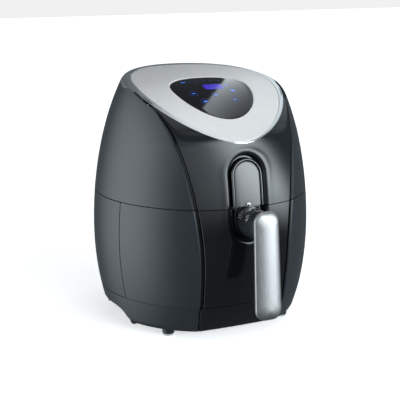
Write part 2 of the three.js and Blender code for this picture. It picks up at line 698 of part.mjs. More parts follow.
// Bar over that outline, following the lean of the grip; y counts back from its front face.
function gripBar(outline, frontDepth, backDepth) {
  const faceY = (z) => GRIP_TOP_Y - GRIP_LEAN * (GRIP_TOP - z);
  const ring = (depth, shrink) => outline.map(([x, z]) => {
    const middleZ = (GRIP_TOP + GRIP_BOTTOM) / 2;
    const halfHeight = (GRIP_TOP - GRIP_BOTTOM) / 2;
    const heightKept = (halfHeight - shrink) / halfHeight;
    return [x * (1 - shrink / GRIP_HALF_WIDTH), faceY(z) + depth, middleZ + (z - middleZ) * heightKept];
  });
  if (frontDepth < 0) {
    return loft([ring(backDepth, 0), ring(2.4, 0), ring(0.4, 0.8), ring(-0.9, 2.6), ring(frontDepth, 6)]);
  }
  return loft([ring(backDepth, 0), ring(frontDepth, 0)]);
}

function makeButton() {
  const cap = post(0, BUTTON_Y, 152, ARM_TOP - 3.5, BUTTON_RADIUS, BUTTON_RADIUS, ROUND)
    .add(post(0, BUTTON_Y, ARM_TOP - 3.6, ARM_TOP - 2.6, BUTTON_RADIUS, BUTTON_RADIUS - 1, ROUND));
  const springRoom = post(0, BUTTON_Y, 140, 158, 5.4);
  place('release_button', cap.subtract(springRoom), 'satin_silver');

  const turns = 5;
  const coil = new THREE.Curve();
  const wireRadius = 0.45;
  const low = 145 + wireRadius + 0.1;
  const high = 158 - wireRadius - 0.1;
  coil.getPoint = (t, target = new THREE.Vector3()) => {
    const angle = t * turns * 2 * Math.PI;
    return target.set(4 * Math.cos(angle), BUTTON_Y + 4 * Math.sin(angle), low + (high - low) * t);
  };
  place('button_spring', wire(coil, wireRadius, turns * 10, 5), 'sheet_steel');

  const guardOutline = guardArch(ARM_HALF_WIDTH + 2.1);
  const guardRoom = guardArch(ARM_HALF_WIDTH + CLEAR);
  const arch = prismY(guardOutline, -158, -136.5)
    .subtract(prismY(guardRoom, -200, -100))
    .intersect(slab(156, 200));
  const loop = rod(0, ARM_TOP + 3.1, -139.5, -136.5, 3.4, 3.4, 20);
  place('button_guard', arch.add(loop.intersect(slab(ARM_TOP + 1, 200))), 'clear');
}

function guardArch(radius) {
  const middle = ARM_TOP - ARM_HALF_WIDTH;
  const steps = 18;
  const arc = Array.from({ length: steps + 1 }, (_, i) => {
    const angle = (i / steps) * Math.PI;
    return [radius * Math.cos(angle), middle + radius * Math.sin(angle)];
  });
  return [...arc, [-radius, 120], [radius, 120]];
}

// ---- inside the housing -------------------------------------------------
function makeChamber() {
  const plan = (halfWidth, rearY) => [
    [-halfWidth, -42],
    [halfWidth, -42],
    ...ovalPlan(halfWidth, -100, rearY, 0, 3, 3, 48).filter(([, y]) => y >= -0.001),
  ];
  const liner = prismZ(plan(101.5, 95), 46.5, 165).subtract(prismZ(plan(100.3, 93.8), 47.7, 180)
    .add(box(-100.3, 100.3, -60, 10, 47.7, 180)));
  place('chamber_liner', liner, 'sheet_steel');
  const deckPlate = post(0, 0, 168.2, 169.8, 126, 126, 44).intersect(box(-130, 130, -118, 130, 160, 180));
  place('chamber_deck', deckPlate.subtract(post(0, 0, 160, 180, 84, 84, 36)), 'sheet_steel');
  const profile = [[7, 208], [50, 208], [86, 196], [90, 170.2], [95, 170.2], [95, 171.4], [91.4, 171.4],
    [87.3, 197.2], [50.4, 209.4], [7, 209.4]].map(([r, z]) => new THREE.Vector2(r, z));
  profile.push(profile[0].clone());
  const dish = new THREE.LatheGeometry(profile, 32);
  dish.rotateX(Math.PI / 2);
  place('heat_shield', solid(dish), 'sheet_steel');
}

function makeHeater() {
  const turns = 2;
  const coil = new THREE.Curve();
  coil.getPoint = (t, target = new THREE.Vector3()) => {
    const angle = t * turns * 2 * Math.PI;
    const radius = 46 + 28 * t;
    return target.set(radius * Math.cos(angle), radius * Math.sin(angle), 177);
  };
  place('heating_element', wire(coil, 3.2, 54, 6), 'sheet_steel');
}

function fan(z0, z1, hubRadius, tipRadius, blades, pitch) {
  let shape = post(0, 0, z0, z1, hubRadius, hubRadius, ROUND).add(post(0, 0, z0, z0 + 1.2, tipRadius * 0.7));
  for (let i = 0; i < blades; i += 1) {
    const blade = new THREE.BoxGeometry(tipRadius - hubRadius + 2, 1.4, z1 - z0);
    blade.rotateX(pitch);
    blade.translate((tipRadius + hubRadius) / 2 - 1, 0, (z0 + z1) / 2);
    blade.rotateZ((i / blades) * 2 * Math.PI);
    shape = shape.add(solid(blade));
  }
  return shape.subtract(post(0, 0, z0 - 5, z1 + 5, BORE_RADIUS, BORE_RADIUS, ROUND));
}

function makeDrive() {
  place('motor_shaft', post(0, 0, 183, 266, SHAFT_RADIUS, SHAFT_RADIUS, ROUND), 'sheet_steel');
  place('hot_air_fan', fan(186, 198, 11, 62, 8, 0.3), 'sheet_steel');
  place('cooling_fan', fan(252, 263, 10, 42, 7, 0.5), 'matte_black');
  const runningBore = post(0, 0, 100, 300, BORE_RADIUS, BORE_RADIUS, ROUND);
  const motor = post(0, 0, 217, 244, 24, 24, 36).add(post(0, 0, 213, 248, 9));
  place('motor', motor.subtract(runningBore), 'sheet_steel');
  const bridge = box(-74, 74, -12, 12, 214.5, 216.7)
    .add(box(-74, -72, -12, 12, 203.5, 216))
    .add(box(72, 74, -12, 12, 203.5, 216))
    .subtract(post(0, 0, 200, 230, 9 + CLEAR, 9 + CLEAR, 36));
  place('motor_bracket', bridge, 'sheet_steel');
}

function makeElectronics() {
  const board = new THREE.BoxGeometry(84, 62, 1.6);
  board.rotateX(0.41);
  board.translate(0, -48, 268);
  place('control_board', solid(board), 'board');
  const power = box(-38, 38, 78, 79.6, 212, 272)
    .add(box(-30, -10, 66, 78.5, 218, 242))
    .add(box(6, 26, 70, 78.5, 220, 236))
    .add(box(-22, 20, 72, 78.5, 250, 262));
  place('power_board', power, 'board');
  place('thermal_cutout', post(58, 40, 205.6, 211, 7).add(box(50, 66, 38, 42, 210, 216)), 'matte_black');
  place('drawer_switch', box(-112, -106, -20, 0, 150, 164), 'matte_black');
}

function screw(x, y, z, headRadius, down) {
  const head = post(x, y, z - down, z, headRadius - 0.8, headRadius, 20);
  return head.subtract(box(x - 0.5, x + 0.5, y - headRadius, y + headRadius, z - down - 1, z - down + 0.8));
}

function makeScrews() {
  [[-46, -60], [46, -60], [-46, 78], [46, 78]].forEach(([x, y], i) => {
    place(`base_screw_${i + 1}`, screw(x, y, BASE_BOTTOM - CLEAR, 4, 1.8), 'sheet_steel');
  });
}

makeUpperHousing();
makeLowerHousing();
makeRearCover();
makeBase();
makeFeet();
makeTop();
makePlaque();
makeDrawerPanels();
makePanAndBasket();
makeHandle();
makeButton();
makeChamber();
makeHeater();
makeDrive();
makeElectronics();
makeScrews();

// ---- centre the whole over the origin ----------------------------------
const extent = new THREE.Box3().setFromObject(group);
const shiftY = -(extent.min.y + extent.max.y) / 2;
for (const mesh of group.children) mesh.geometry.translate(0, shiftY, 0);
group.userData.shiftY = shiftY;

export default group;
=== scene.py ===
"""Looks of the air fryer: smooth panels, trim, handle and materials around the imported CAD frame.

Shapes are worked out in millimetres about the body's vertical axis, with the front towards -Y,
and to_row() turns them into metres in the row frame.
"""

import math

import bmesh
import bpy
import numpy as np
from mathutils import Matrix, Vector


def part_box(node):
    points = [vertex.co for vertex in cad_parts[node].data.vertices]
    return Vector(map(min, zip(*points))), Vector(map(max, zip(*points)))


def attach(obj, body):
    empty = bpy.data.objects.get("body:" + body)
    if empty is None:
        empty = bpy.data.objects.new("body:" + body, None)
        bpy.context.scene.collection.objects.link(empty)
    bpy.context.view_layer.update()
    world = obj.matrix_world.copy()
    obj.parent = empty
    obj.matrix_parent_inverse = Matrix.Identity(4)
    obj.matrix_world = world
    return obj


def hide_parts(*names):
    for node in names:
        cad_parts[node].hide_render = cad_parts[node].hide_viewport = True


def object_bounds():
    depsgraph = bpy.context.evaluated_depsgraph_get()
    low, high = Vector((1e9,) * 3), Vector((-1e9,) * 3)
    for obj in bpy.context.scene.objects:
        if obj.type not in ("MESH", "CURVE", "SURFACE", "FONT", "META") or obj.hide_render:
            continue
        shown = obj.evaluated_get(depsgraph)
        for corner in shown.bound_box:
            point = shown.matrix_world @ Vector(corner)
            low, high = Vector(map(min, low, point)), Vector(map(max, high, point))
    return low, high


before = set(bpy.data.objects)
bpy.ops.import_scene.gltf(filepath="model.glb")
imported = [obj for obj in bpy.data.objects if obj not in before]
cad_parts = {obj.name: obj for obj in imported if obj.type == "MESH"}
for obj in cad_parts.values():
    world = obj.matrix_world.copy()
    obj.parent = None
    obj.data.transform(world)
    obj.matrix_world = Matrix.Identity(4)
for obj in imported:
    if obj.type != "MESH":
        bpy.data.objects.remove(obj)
CAD_LOW, CAD_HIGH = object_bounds()

MM = 0.001


def box_mm(node):
    low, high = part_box(node)
    return np.array(low) / MM, np.array(high) / MM


def span_mm(node, axis):
    low, high = box_mm(node)
    return low[axis], high[axis]


SHAFT_LOW, SHAFT_HIGH = box_mm("motor_shaft")
AXIS_Y = (SHAFT_LOW[1] + SHAFT_HIGH[1]) / 2

# ---- driving dimensions, mm about the body's axis ---------------------------
MARGIN = 0.15                                   # kept inside the CAD box
WIDEST_RADIUS = (CAD_HIGH.x / MM - MARGIN) / 1.0009
WIDEST_HEIGHT = 118.0
UPPER_REACH = 271.0
LOWER_REACH = 232.0
FASCIA_DEPTH = 139.0
FASCIA_HEIGHT = 125.0
FASCIA_UPPER_REACH = 246.0
FASCIA_LOWER_REACH = 192.0
CREASE_LEVEL = 90.0                             # height where the creases stand closest together
CREASE_DEGREES = 24.3                           # half angle between them there
CREASE_SPREAD_LOW = 2.0                         # degrees added 76 mm below that
CREASE_SPREAD_HIGH = 5.6                        # degrees added 100 mm above it
CREASE_FLARE = 0.026                            # late flare to the ring, in degrees
CREASE_SWELL = 0.033                            # how far the creases stand out of the round body
SWELL_START = 43.7                              # height where the swell is full
SWELL_TOP, SWELL_RUN = 300.0, 60.0              # height where it has gone, and how long it fades
SWELL_FADE = 0.31                               # radians along the sides
HOLLOW = 0.0045                                 # how strongly the fascia turns hollow beside the ring
HOLLOW_RISE = 30.0                              # height over the ring's tip where the hollow is full
RING_DROP = 6.5                                 # how far the ring's rounded edge reaches down the sides
SEAM_UPPER = span_mm("drawer_fascia", 2)[1] + 0.25
SEAM_LOWER = span_mm("drawer_fascia", 2)[0] - 0.25
BASE_EDGE = 13.6
BASE_BOTTOM = span_mm("base_pan", 2)[0]
DRAWER_JOINT_Y = -46.0
REAR_JOINT_Y = 62.0
WALL = 3.0
HALF_GAP = 0.45
CREASE_GAP = 0.9
FASCIA_GAP = 3.6                                # from the crease to the fascia: a dark groove
FLANGE_REACH, FLANGE_DEPTH = 5.1, 3.8           # lip of the fascia that closes the groove underneath
FASCIA_ROLL = 0.9                               # radius of the fascia's edge along the creases
SHELL_ROLL = 2.2

DOME_Z = span_mm("touch_glass", 2)[1] - 0.65    # height of the sloping top over the axis
DOME_SLOPE = 0.206
DOME_FRONT_BEND = 0.00249
DOME_REAR_BEND = 0.001
DOME_CROSS_BEND = 0.000238

TOP_MIDDLE_Y = -20.0
FRONT_POWER = 1.8
REAR_POWER = 2.4
RING = (98.5, -122.6, 99.0)                     # half width, front Y, rear Y
PLATE = (91.5, -121.0, 74.0)
GLASS_MIDDLE_Y = -29.0
GLASS = (52.0, -90.5, 2.7)
GLASS_FRONT_POWER = 1.92
GLASS_REAR_POWER = 2.2

RECESS_HALF_WIDTH = 25.6
RECESS_TOP = 231.0
RECESS_BOTTOM = 125.0
RECESS_DEPTH = 9.0
FRAME_HALF_WIDTH = 20.4
PLAQUE_HALF_WIDTH = 17.3
PLAQUE_TOP = 221.5
PLAQUE_BOTTOM = SEAM_UPPER + 1.5

ARM_HALF_WIDTH = 15.0
ARM_TOP = 166.5
ARM_BOTTOM = 132.5
GRIP_TOP = 171.5
GRIP_BOTTOM = 43.0
GRIP_LEAN = 0.082
GRIP_CORNER = 12.5
GRIP_TOP_HALF = 15.7                            # half width at the top
GRIP_WIDENING = 1.4                             # added to it at the bottom
GRIP_FRONT_Y = span_mm("grip_front", 1)[0] - AXIS_Y + MARGIN
BUTTON_Y = sum(span_mm("release_button", 1)) / 2 - AXIS_Y
BUTTON_RADIUS = 7.5


def to_row(points):
    points = np.asarray(points, float).reshape(-1, 3)
    return (points + (0.0, AXIS_Y, 0.0)) * MM


# ---- the outer form -------------------------------------------------------
def ellipse_share(height, reach):
    return np.sqrt(np.clip(1.0 - (height / reach) ** 2, 0.0, 1.0))


def body_radius(z):
    height = np.asarray(z, float) - WIDEST_HEIGHT
    return WIDEST_RADIUS * ellipse_share(height, np.where(height > 0, UPPER_REACH, LOWER_REACH))


def fascia_depth(z):
    height = np.asarray(z, float) - FASCIA_HEIGHT
    return FASCIA_DEPTH * ellipse_share(height, np.where(height > 0, FASCIA_UPPER_REACH, FASCIA_LOWER_REACH))


def crease_angle(z):
    low = np.maximum(0.0, CREASE_LEVEL - z) / 76.0
    high = np.maximum(0.0, z - CREASE_LEVEL) / 100.0
    spread = CREASE_SPREAD_LOW * low**2 + CREASE_SPREAD_HIGH * high**2 + CREASE_FLARE * high**9.4
    return np.radians(CREASE_DEGREES + spread)


def crease_swell(z):
    base_fade = np.clip((z - BASE_EDGE) / (SWELL_START - BASE_EDGE), 0.0, 1.0)
    top_fade = np.clip((SWELL_TOP - z) / SWELL_RUN, 0.0, 1.0)
    return CREASE_SWELL * np.minimum(base_fade, top_fade)


def crease_point(z):
    radius = body_radius(z) * (1.0 + crease_swell(z))
    return radius * np.sin(crease_angle(z)), -radius * np.cos(crease_angle(z))


def side_radius(turn, z):
    nearest = np.maximum(0.0, turn - crease_angle(z))
    return body_radius(z) * (1.0 + crease_swell(z) * np.exp(-nearest / SWELL_FADE))


def side_point(turn, z, inset=0.0):
    """Point of the round side at an angle from -Y."""
    radius = side_radius(turn, z) - inset
    return np.stack([radius * np.sin(turn), -radius * np.cos(turn), z + 0.0 * turn], -1)


def turn_at_y(y, z):
    turn = np.full(np.shape(z), math.pi / 2)
    for _ in range(12):
        turn = np.arccos(np.clip(-y / side_radius(turn, z), -1.0, 1.0))
    return turn


def dome_z(x, y):
    bend = np.where(np.asarray(y) < 0, DOME_FRONT_BEND, DOME_REAR_BEND)
    return DOME_Z + DOME_SLOPE * y - bend * y**2 - DOME_CROSS_BEND * x**2


def plan_point(plan, angle, grow=0.0, middle=TOP_MIDDLE_Y, powers=(FRONT_POWER, REAR_POWER)):
    """Point of an egg-shaped plan: angle 0 is +X and a quarter turn on is +Y."""
    half, front, rear = plan[0] + grow, plan[1] - grow, plan[2] + grow
    c, s = np.cos(angle), np.sin(angle)
    power = np.where(s < 0, powers[0], powers[1])
    depth = np.where(s < 0, middle - front, rear - middle)
    x = half * np.sign(c) * np.abs(c) ** (2.0 / power)
    y = middle + depth * np.sign(s) * np.abs(s) ** (2.0 / power)
    return x, y


EDGE_TURNS = np.radians(np.linspace(-90.0, 0.0, 400))
EDGE_X, EDGE_Y = plan_point(RING, EDGE_TURNS, 0.3)
EDGE_Z = dome_z(EDGE_X, EDGE_Y)
TIP_Z = float(EDGE_Z[0])


def ring_edge_at(z):
    """x and y of the ring's outer edge at a height, on its front right quarter."""
    return np.interp(z, EDGE_Z, EDGE_X), np.interp(z, EDGE_Z, EDGE_Y)


def fascia_y(x, z):
    """The front surface between the creases. Above the ring's tip it bends in to meet the ring's edge."""
    x = np.abs(np.asarray(x, float))
    z = np.asarray(z, float)
    crease_x, crease_y = crease_point(z)
    fullness = fascia_depth(z) + crease_y
    bowed = crease_y - fullness * (1.0 - (x / crease_x) ** 2)
    edge_x, edge_y = ring_edge_at(z)
    at_edge = crease_y - fullness * (1.0 - (edge_x / crease_x) ** 2)
    share = np.clip((crease_x - x) / np.maximum(crease_x - edge_x, 0.5), 0.0, 1.0)
    meet = smooth_step((z - TIP_Z) / (HOLLOW_RISE / 2))
    depth = HOLLOW * smooth_step((z - TIP_Z) / HOLLOW_RISE)
    hollow = depth * np.maximum(x - edge_x, 0.0) * (crease_x - x)
    return np.where(z > TIP_Z, bowed + (edge_y - at_edge) * share * meet + hollow, bowed)


def smooth_step(value):
    share = np.clip(value, 0.0, 1.0)
    return share * share * (3.0 - 2.0 * share)


def ring_drop(y):
    """How far down the ring's rounded edge reaches: nothing in front, full at the sides."""
    return RING_DROP * smooth_step((np.asarray(y, float) + 24.0) / 42.0)


def body_corner(x, y):
    """Where the dome meets the body's side, on the line from the plan's middle through (x, y)."""
    run = np.hypot(x, y - TOP_MIDDLE_Y)
    ux, uy = x / run, (y - TOP_MIDDLE_Y) / run
    low, high = run * 0.6, run * 1.4
    for _ in range(40):
        middle = (low + high) / 2
        px, py = ux * middle, TOP_MIDDLE_Y + uy * middle
        turn = np.arctan2(np.abs(px), -py)
        inside = np.hypot(px, py) < side_radius(turn, dome_z(px, py))
        low, high = np.where(inside, middle, low), np.where(inside, high, middle)
    return ux * low, TOP_MIDDLE_Y + uy * low


def roll(distance, radius):
    """Depth of a rounded edge at a distance from the edge."""
    near = np.clip(radius - distance, 0.0, radius)
    return radius - np.sqrt(radius**2 - near**2)


# ---- mesh helpers -----------------------------------------------------------
def grid_faces(rows, columns, wrap=False, skip=None):
    faces = []
    for j in range(rows - 1):
        for i in range(columns if wrap else columns - 1):
            if skip and skip(j, i):
                continue
            k = (i + 1) % columns
            faces.append((j * columns + i, j * columns + k, (j + 1) * columns + k, (j + 1) * columns + i))
    return faces


def sheet(rows, wrap=False):
    """Points and faces of a grid of rows."""
    points = np.asarray(rows, float)
    return points.reshape(-1, 3), grid_faces(*points.shape[:2], wrap=wrap)


def join_parts(parts):
    points, faces, start = [], [], 0
    for part_points, part_faces in parts:
        part_points = np.asarray(part_points, float).reshape(-1, 3)
        points.append(part_points)
        faces += [tuple(start + i for i in face) for face in part_faces]
        start += len(part_points)
    return np.concatenate(points), faces


def piece(name, points, faces, body, slot, material, stands_for=(), sharp=38.0, out_from=(0, 0, 120)):
    """A finished mesh object from points in millimetres. Open sheets face away from out_from."""
    mesh = bpy.data.meshes.new(name)
    mesh.from_pydata([tuple(p) for p in to_row(points)], [], faces)
    work = bmesh.new()
    work.from_mesh(mesh)
    bmesh.ops.remove_doubles(work, verts=work.verts, dist=2e-6)
    bmesh.ops.dissolve_degenerate(work, edges=work.edges, dist=1e-6)
    bmesh.ops.recalc_face_normals(work, faces=work.faces)
    if any(edge.is_boundary for edge in work.edges):
        centre = Vector(to_row(out_from)[0])
        facing = sum(
            face.calc_area() * face.normal.dot(face.calc_center_median() - centre) for face in work.faces
        )
        if facing < 0:
            bmesh.ops.reverse_faces(work, faces=work.faces)
    work.to_mesh(mesh)
    work.free()
    mesh.shade_smooth()
    mesh.set_sharp_from_angle(angle=math.radians(sharp))
    obj = bpy.data.objects.new(name, mesh)
    bpy.context.scene.collection.objects.link(obj)
    obj.data.materials.append(material)
    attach(obj, body)
    if stands_for:
        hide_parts(*stands_for)
    return obj


def thicken(obj, thickness, edge=0.4):
    """Gives a sheet its wall, inwards, and rounds the rim."""
    wall = obj.modifiers.new("wall", "SOLIDIFY")
    wall.thickness = thickness * MM
    wall.offset = -1.0
    wall.use_even_offset = False
    soften(obj, edge, "rim", 50)


def soften(obj, width, name="edges", angle=35):
    """Rounds the edges that are sharper than an angle."""
    soft = obj.modifiers.new(name, "BEVEL")
    soft.width = width * MM
    soft.segments = 2
    soft.limit_method = "ANGLE"
    soft.angle_limit = math.radians(angle)
    soft.harden_normals = True


def loft(rings, wrap_path=False):
    """Closed outlines joined one after another: rings is (count, points, 3)."""
    rings = np.asarray(rings, float)
    count, around = rings.shape[:2]
    faces = grid_faces(count, around, wrap=True)
    if wrap_path:
        last = (count - 1) * around
        faces += [(last + i, last + (i + 1) % around, (i + 1) % around, i) for i in range(around)]
    else:
        faces.append(tuple(range(around)))
        faces.append(tuple((count - 1) * around + i for i in range(around)))
    return rings.reshape(-1, 3), faces


def lathe(profile, centre, steps=48, axis="z"):
    """Turned shape: profile is [(radius, height)], closed on the axis or as a ring."""
    rings = []
    for i in range(steps):
        turn = 2.0 * math.pi * i / steps
        c, s = math.cos(turn), math.sin(turn)
        if axis == "z":
            rings.append([(r * c, r * s, h) for r, h in profile])
        else:
            rings.append([(r * c, h, r * s) for r, h in profile])
    rings = np.asarray(rings, float) + np.asarray(centre, float)
    return loft(rings, wrap_path=True)


# ---- materials ----------------------------------------------------------------
def shader(name):
    material = bpy.data.materials.new(name)
    material.use_nodes = True
    nodes = material.node_tree.nodes
    return material, nodes, material.node_tree.links, nodes["Principled BSDF"]


def noise(nodes, links, scale, detail=3.0, stretch=(1, 1, 1)):
    place = nodes.new("ShaderNodeTexCoord")
    turn = nodes.new("ShaderNodeMapping")
    turn.inputs["Scale"].default_value = stretch
    grain = nodes.new("ShaderNodeTexNoise")
    grain.inputs["Scale"].default_value = scale
    grain.inputs["Detail"].default_value = detail
    links.new(place.outputs["Object"], turn.inputs["Vector"])
    links.new(turn.outputs["Vector"], grain.inputs["Vector"])
    return grain


def vary_colour(nodes, links, bsdf, grain, dark, light):
    ramp = nodes.new("ShaderNodeValToRGB")
    ramp.color_ramp.elements[0].position = 0.3
    ramp.color_ramp.elements[1].position = 0.7
    ramp.color_ramp.elements[0].color = (*dark, 1)
    ramp.color_ramp.elements[1].color = (*light, 1)
    links.new(grain.outputs["Fac"], ramp.inputs["Fac"])
    links.new(ramp.outputs["Color"], bsdf.inputs["Base Color"])


def map_range(nodes, links, value, start, stop, low, high):
    """A node that carries start to low and stop to high."""
    node = nodes.new("ShaderNodeMapRange")
    for name, number in (("From Min", start), ("From Max", stop), ("To Min", low), ("To Max", high)):
        node.inputs[name].default_value = number
    links.new(value, node.inputs["Value"])
    return node


def vary_roughness(nodes, links, bsdf, grain, low, high):
    spread = map_range(nodes, links, grain.outputs["Fac"], 0.3, 0.7, low, high)
    links.new(spread.outputs["Result"], bsdf.inputs["Roughness"])


def bump(nodes, links, bsdf, grain, strength, distance):
    dent = nodes.new("ShaderNodeBump")
    dent.inputs["Strength"].default_value = strength
    dent.inputs["Distance"].default_value = distance
    links.new(grain.outputs["Fac"], dent.inputs["Height"])
    links.new(dent.outputs["Normal"], bsdf.inputs["Normal"])


def plastic(name, colour, rough, spread=0.03, grain_scale=900.0, bump_strength=0.03):
    """Moulded plastic: faint cloudiness in the colour, a fine moulded grain and uneven gloss."""
    material, nodes, links, bsdf = shader(name)
    cloud = noise(nodes, links, 14.0)
    fine = noise(nodes, links, grain_scale, 2.0)
    vary_colour(nodes, links, bsdf, cloud, [c * 0.94 for c in colour], [c * 1.06 for c in colour])
    vary_roughness(nodes, links, bsdf, fine, rough - spread, rough + spread)
    bump(nodes, links, bsdf, fine, bump_strength, 0.0002)
    return material


def metal(name, colour, rough, stretch, scale=60.0, spread=0.06, bump_strength=0.05, metallic=1.0):
    """Brushed or satin metal: fine lines along one direction in colour, gloss and relief."""
    material, nodes, links, bsdf = shader(name)
    lines = noise(nodes, links, scale, 5.0, stretch)
    vary_colour(nodes, links, bsdf, lines, [c * 0.93 for c in colour], [min(1.0, c * 1.05) for c in colour])
    vary_roughness(nodes, links, bsdf, lines, rough - spread, rough + spread)
    bump(nodes, links, bsdf, lines, bump_strength, 0.0001)
    bsdf.inputs["Metallic"].default_value = metallic
    return material


def clear_plastic(name):
    material, nodes, links, bsdf = shader(name)
    cloud = noise(nodes, links, 240.0)
    vary_roughness(nodes, links, bsdf, cloud, 0.03, 0.1)
    bump(nodes, links, bsdf, cloud, 0.25, 0.0006)
    bsdf.inputs["Base Color"].default_value = (0.9, 0.93, 0.95, 1)
    bsdf.inputs["IOR"].default_value = 1.49
    bsdf.inputs["Transmission Weight"].default_value = 1.0
    return material


def glow(name, colour, strength):
    material, nodes, links, bsdf = shader(name)
    cloud = noise(nodes, links, 900.0)
    vary_colour(nodes, links, bsdf, cloud, [c * 0.5 for c in colour], colour)
    power = map_range(nodes, links, cloud.outputs["Fac"], 0.25, 0.75, strength * 0.75, strength * 1.25)
    links.new(power.outputs["Result"], bsdf.inputs["Emission Strength"])
    bsdf.inputs["Emission Color"].default_value = (*colour, 1)
    bsdf.inputs["Roughness"].default_value = 0.1
    return material


EVEN = (1.0, 1.0, 1.0)                          # grain that runs no way in particular
SHELL = plastic("satin_shell", (0.019, 0.024, 0.028), 0.30, bump_strength=0.015)
ARM_PLASTIC = plastic("arm_plastic", (0.022, 0.025, 0.028), 0.26, bump_strength=0.01)
GLOSS = plastic("gloss_black", (0.006, 0.007, 0.008), 0.09, spread=0.02, bump_strength=0.002)
FASCIA = plastic("fascia_black", (0.007, 0.009, 0.011), 0.19, spread=0.02, bump_strength=0.004)
MATTE = plastic("matte_black", (0.010, 0.011, 0.012), 0.45, bump_strength=0.05)
RUBBER = plastic("pad_rubber", (0.42, 0.45, 0.46), 0.55, bump_strength=0.1)
WINDOW = plastic("glass_black", (0.004, 0.004, 0.006), 0.04, spread=0.01, bump_strength=0.0)
PLATE_METAL = metal("brushed_plate", (0.77, 0.745, 0.73), 0.42, (1.0, 12.0, 1.0), 160.0, spread=0.04,
                    bump_strength=0.03, metallic=0.5)
SILVER = metal("satin_silver", (0.70, 0.72, 0.74), 0.30, EVEN, 500.0, spread=0.03, bump_strength=0.02)
PLAQUE_METAL = metal("plaque_metal", (0.085, 0.084, 0.083), 0.34, EVEN, 420.0, spread=0.03,
                     bump_strength=0.02)
GRIP_METAL = metal("grip_metal", (0.40, 0.40, 0.40), 0.40, (1.0, 1.0, 0.3), 420.0, spread=0.03,
                   bump_strength=0.02)
DARK_CHROME = metal("dark_chrome", (0.10, 0.105, 0.11), 0.14, EVEN, 300.0, spread=0.02, bump_strength=0.01)
STEEL = metal("sheet_steel", (0.52, 0.53, 0.54), 0.36, (1.0, 1.0, 18.0), 40.0)
NONSTICK = plastic("nonstick", (0.018, 0.018, 0.019), 0.38, grain_scale=1400.0, bump_strength=0.12)
BOARD = plastic("board_green", (0.02, 0.11, 0.05), 0.4)
CLEAR = clear_plastic("clear_guard")
BLUE = glow("icon_blue", (0.02, 0.16, 0.75), 0.62)
VIOLET = glow("digits_violet", (0.035, 0.015, 0.42), 0.42)
FAINT = glow("ring_faint", (0.012, 0.02, 0.16), 0.5)


# ---- side panels ----------------------------------------------------------------
def mirrored(points, sign):
    return np.asarray(points, float) * (sign, 1.0, 1.0)


def edge_shares(columns):
    """Shares from 0 to 1 with close steps at the start, for a rolled edge."""
    start = np.linspace(0.0, 0.035, 6, endpoint=False)
    return np.concatenate([start, np.linspace(0.035, 1.0, columns)])


def rolled_side(turns, heights, front_edge):
    """Side points whose front edge rolls in by a radius."""
    distance = (turns - turns[:, :1]) * body_radius(heights)
    inset = roll(distance, front_edge) if front_edge else 0.0
    return side_point(turns, heights, inset)


def side_panel(name, sign, z_low, z_high, start, stop, body, stands_for, front_edge=0.0):
    """Side panel between two seams; its front edge is rolled where front_edge gives a radius."""
    z = np.linspace(z_low, z_high, 40)[:, None]
    share = edge_shares(40) if front_edge else np.linspace(0.0, 1.0, 40)
    turns = start(z) + (stop(z) - start(z)) * share[None, :]
    points, faces = sheet(rolled_side(turns, z + 0.0 * turns, front_edge))
    obj = piece(name, mirrored(points, sign), faces, body, "satin_shell", SHELL, stands_for)
    thicken(obj, WALL)


def crease_start(z):
    return crease_angle(z) + CREASE_GAP / body_radius(z)


def joint_turn(y, gap):
    return lambda z: turn_at_y(y + gap, z)


def top_heights(start, stop, share, z_low):
    """For each column, the height where the side meets the dome."""
    low = np.full(share.shape, z_low + 20.0)
    high = np.full(share.shape, 322.0)
    for _ in range(40):
        middle = (low + high) / 2
        turn = start(middle) + (stop(middle) - start(middle)) * share
        point = side_point(turn, middle)
        under = dome_z(point[:, 0], point[:, 1]) > middle
        low = np.where(under, middle, low)
        high = np.where(under, high, middle)
    return low


def upper_side(name, sign, start, stop, z_low, stands_for):
    """Side panel that ends under the ring's rounded edge."""
    share = edge_shares(56)
    top = top_heights(start, stop, share, z_low)
    corner = side_point(start(top) + (stop(top) - start(top)) * share, top)
    top = top - ring_drop(corner[:, 1]) - 0.3
    z = np.stack([z_low + (top - z_low) * t for t in np.linspace(0.0, 1.0, 50)])
    turns = start(z) + (stop(z) - start(z)) * share
    points, faces = sheet(rolled_side(turns, z, SHELL_ROLL))
    obj = piece(name, mirrored(points, sign), faces, "housing", "satin_shell", SHELL, stands_for)
    thicken(obj, WALL, 0.3)


def make_sides():
    for sign, side in ((-1, "left"), (1, "right")):
        upper_side(f"upper_shell_{side}_skin", sign, crease_start, joint_turn(REAR_JOINT_Y, -HALF_GAP),
                   SEAM_UPPER + HALF_GAP, (f"upper_shell_{side}",))
        side_panel(f"drawer_side_{side}_skin", sign, SEAM_LOWER + HALF_GAP, SEAM_UPPER - HALF_GAP,
                   crease_start, joint_turn(DRAWER_JOINT_Y, -HALF_GAP), "drawer", (f"drawer_side_{side}",),
                   SHELL_ROLL)
        side_panel(f"lower_housing_{side}_skin", sign, SEAM_LOWER + HALF_GAP, SEAM_UPPER - HALF_GAP,
                   joint_turn(DRAWER_JOINT_Y, HALF_GAP), joint_turn(REAR_JOINT_Y, -HALF_GAP), "housing",
                   (f"lower_housing_{side}",))


# ---- rear cover and grille --------------------------------------------------------
GRILLE_HALF = 46.0
GRILLE_LOW, GRILLE_HIGH = span_mm("exhaust_grille", 2)


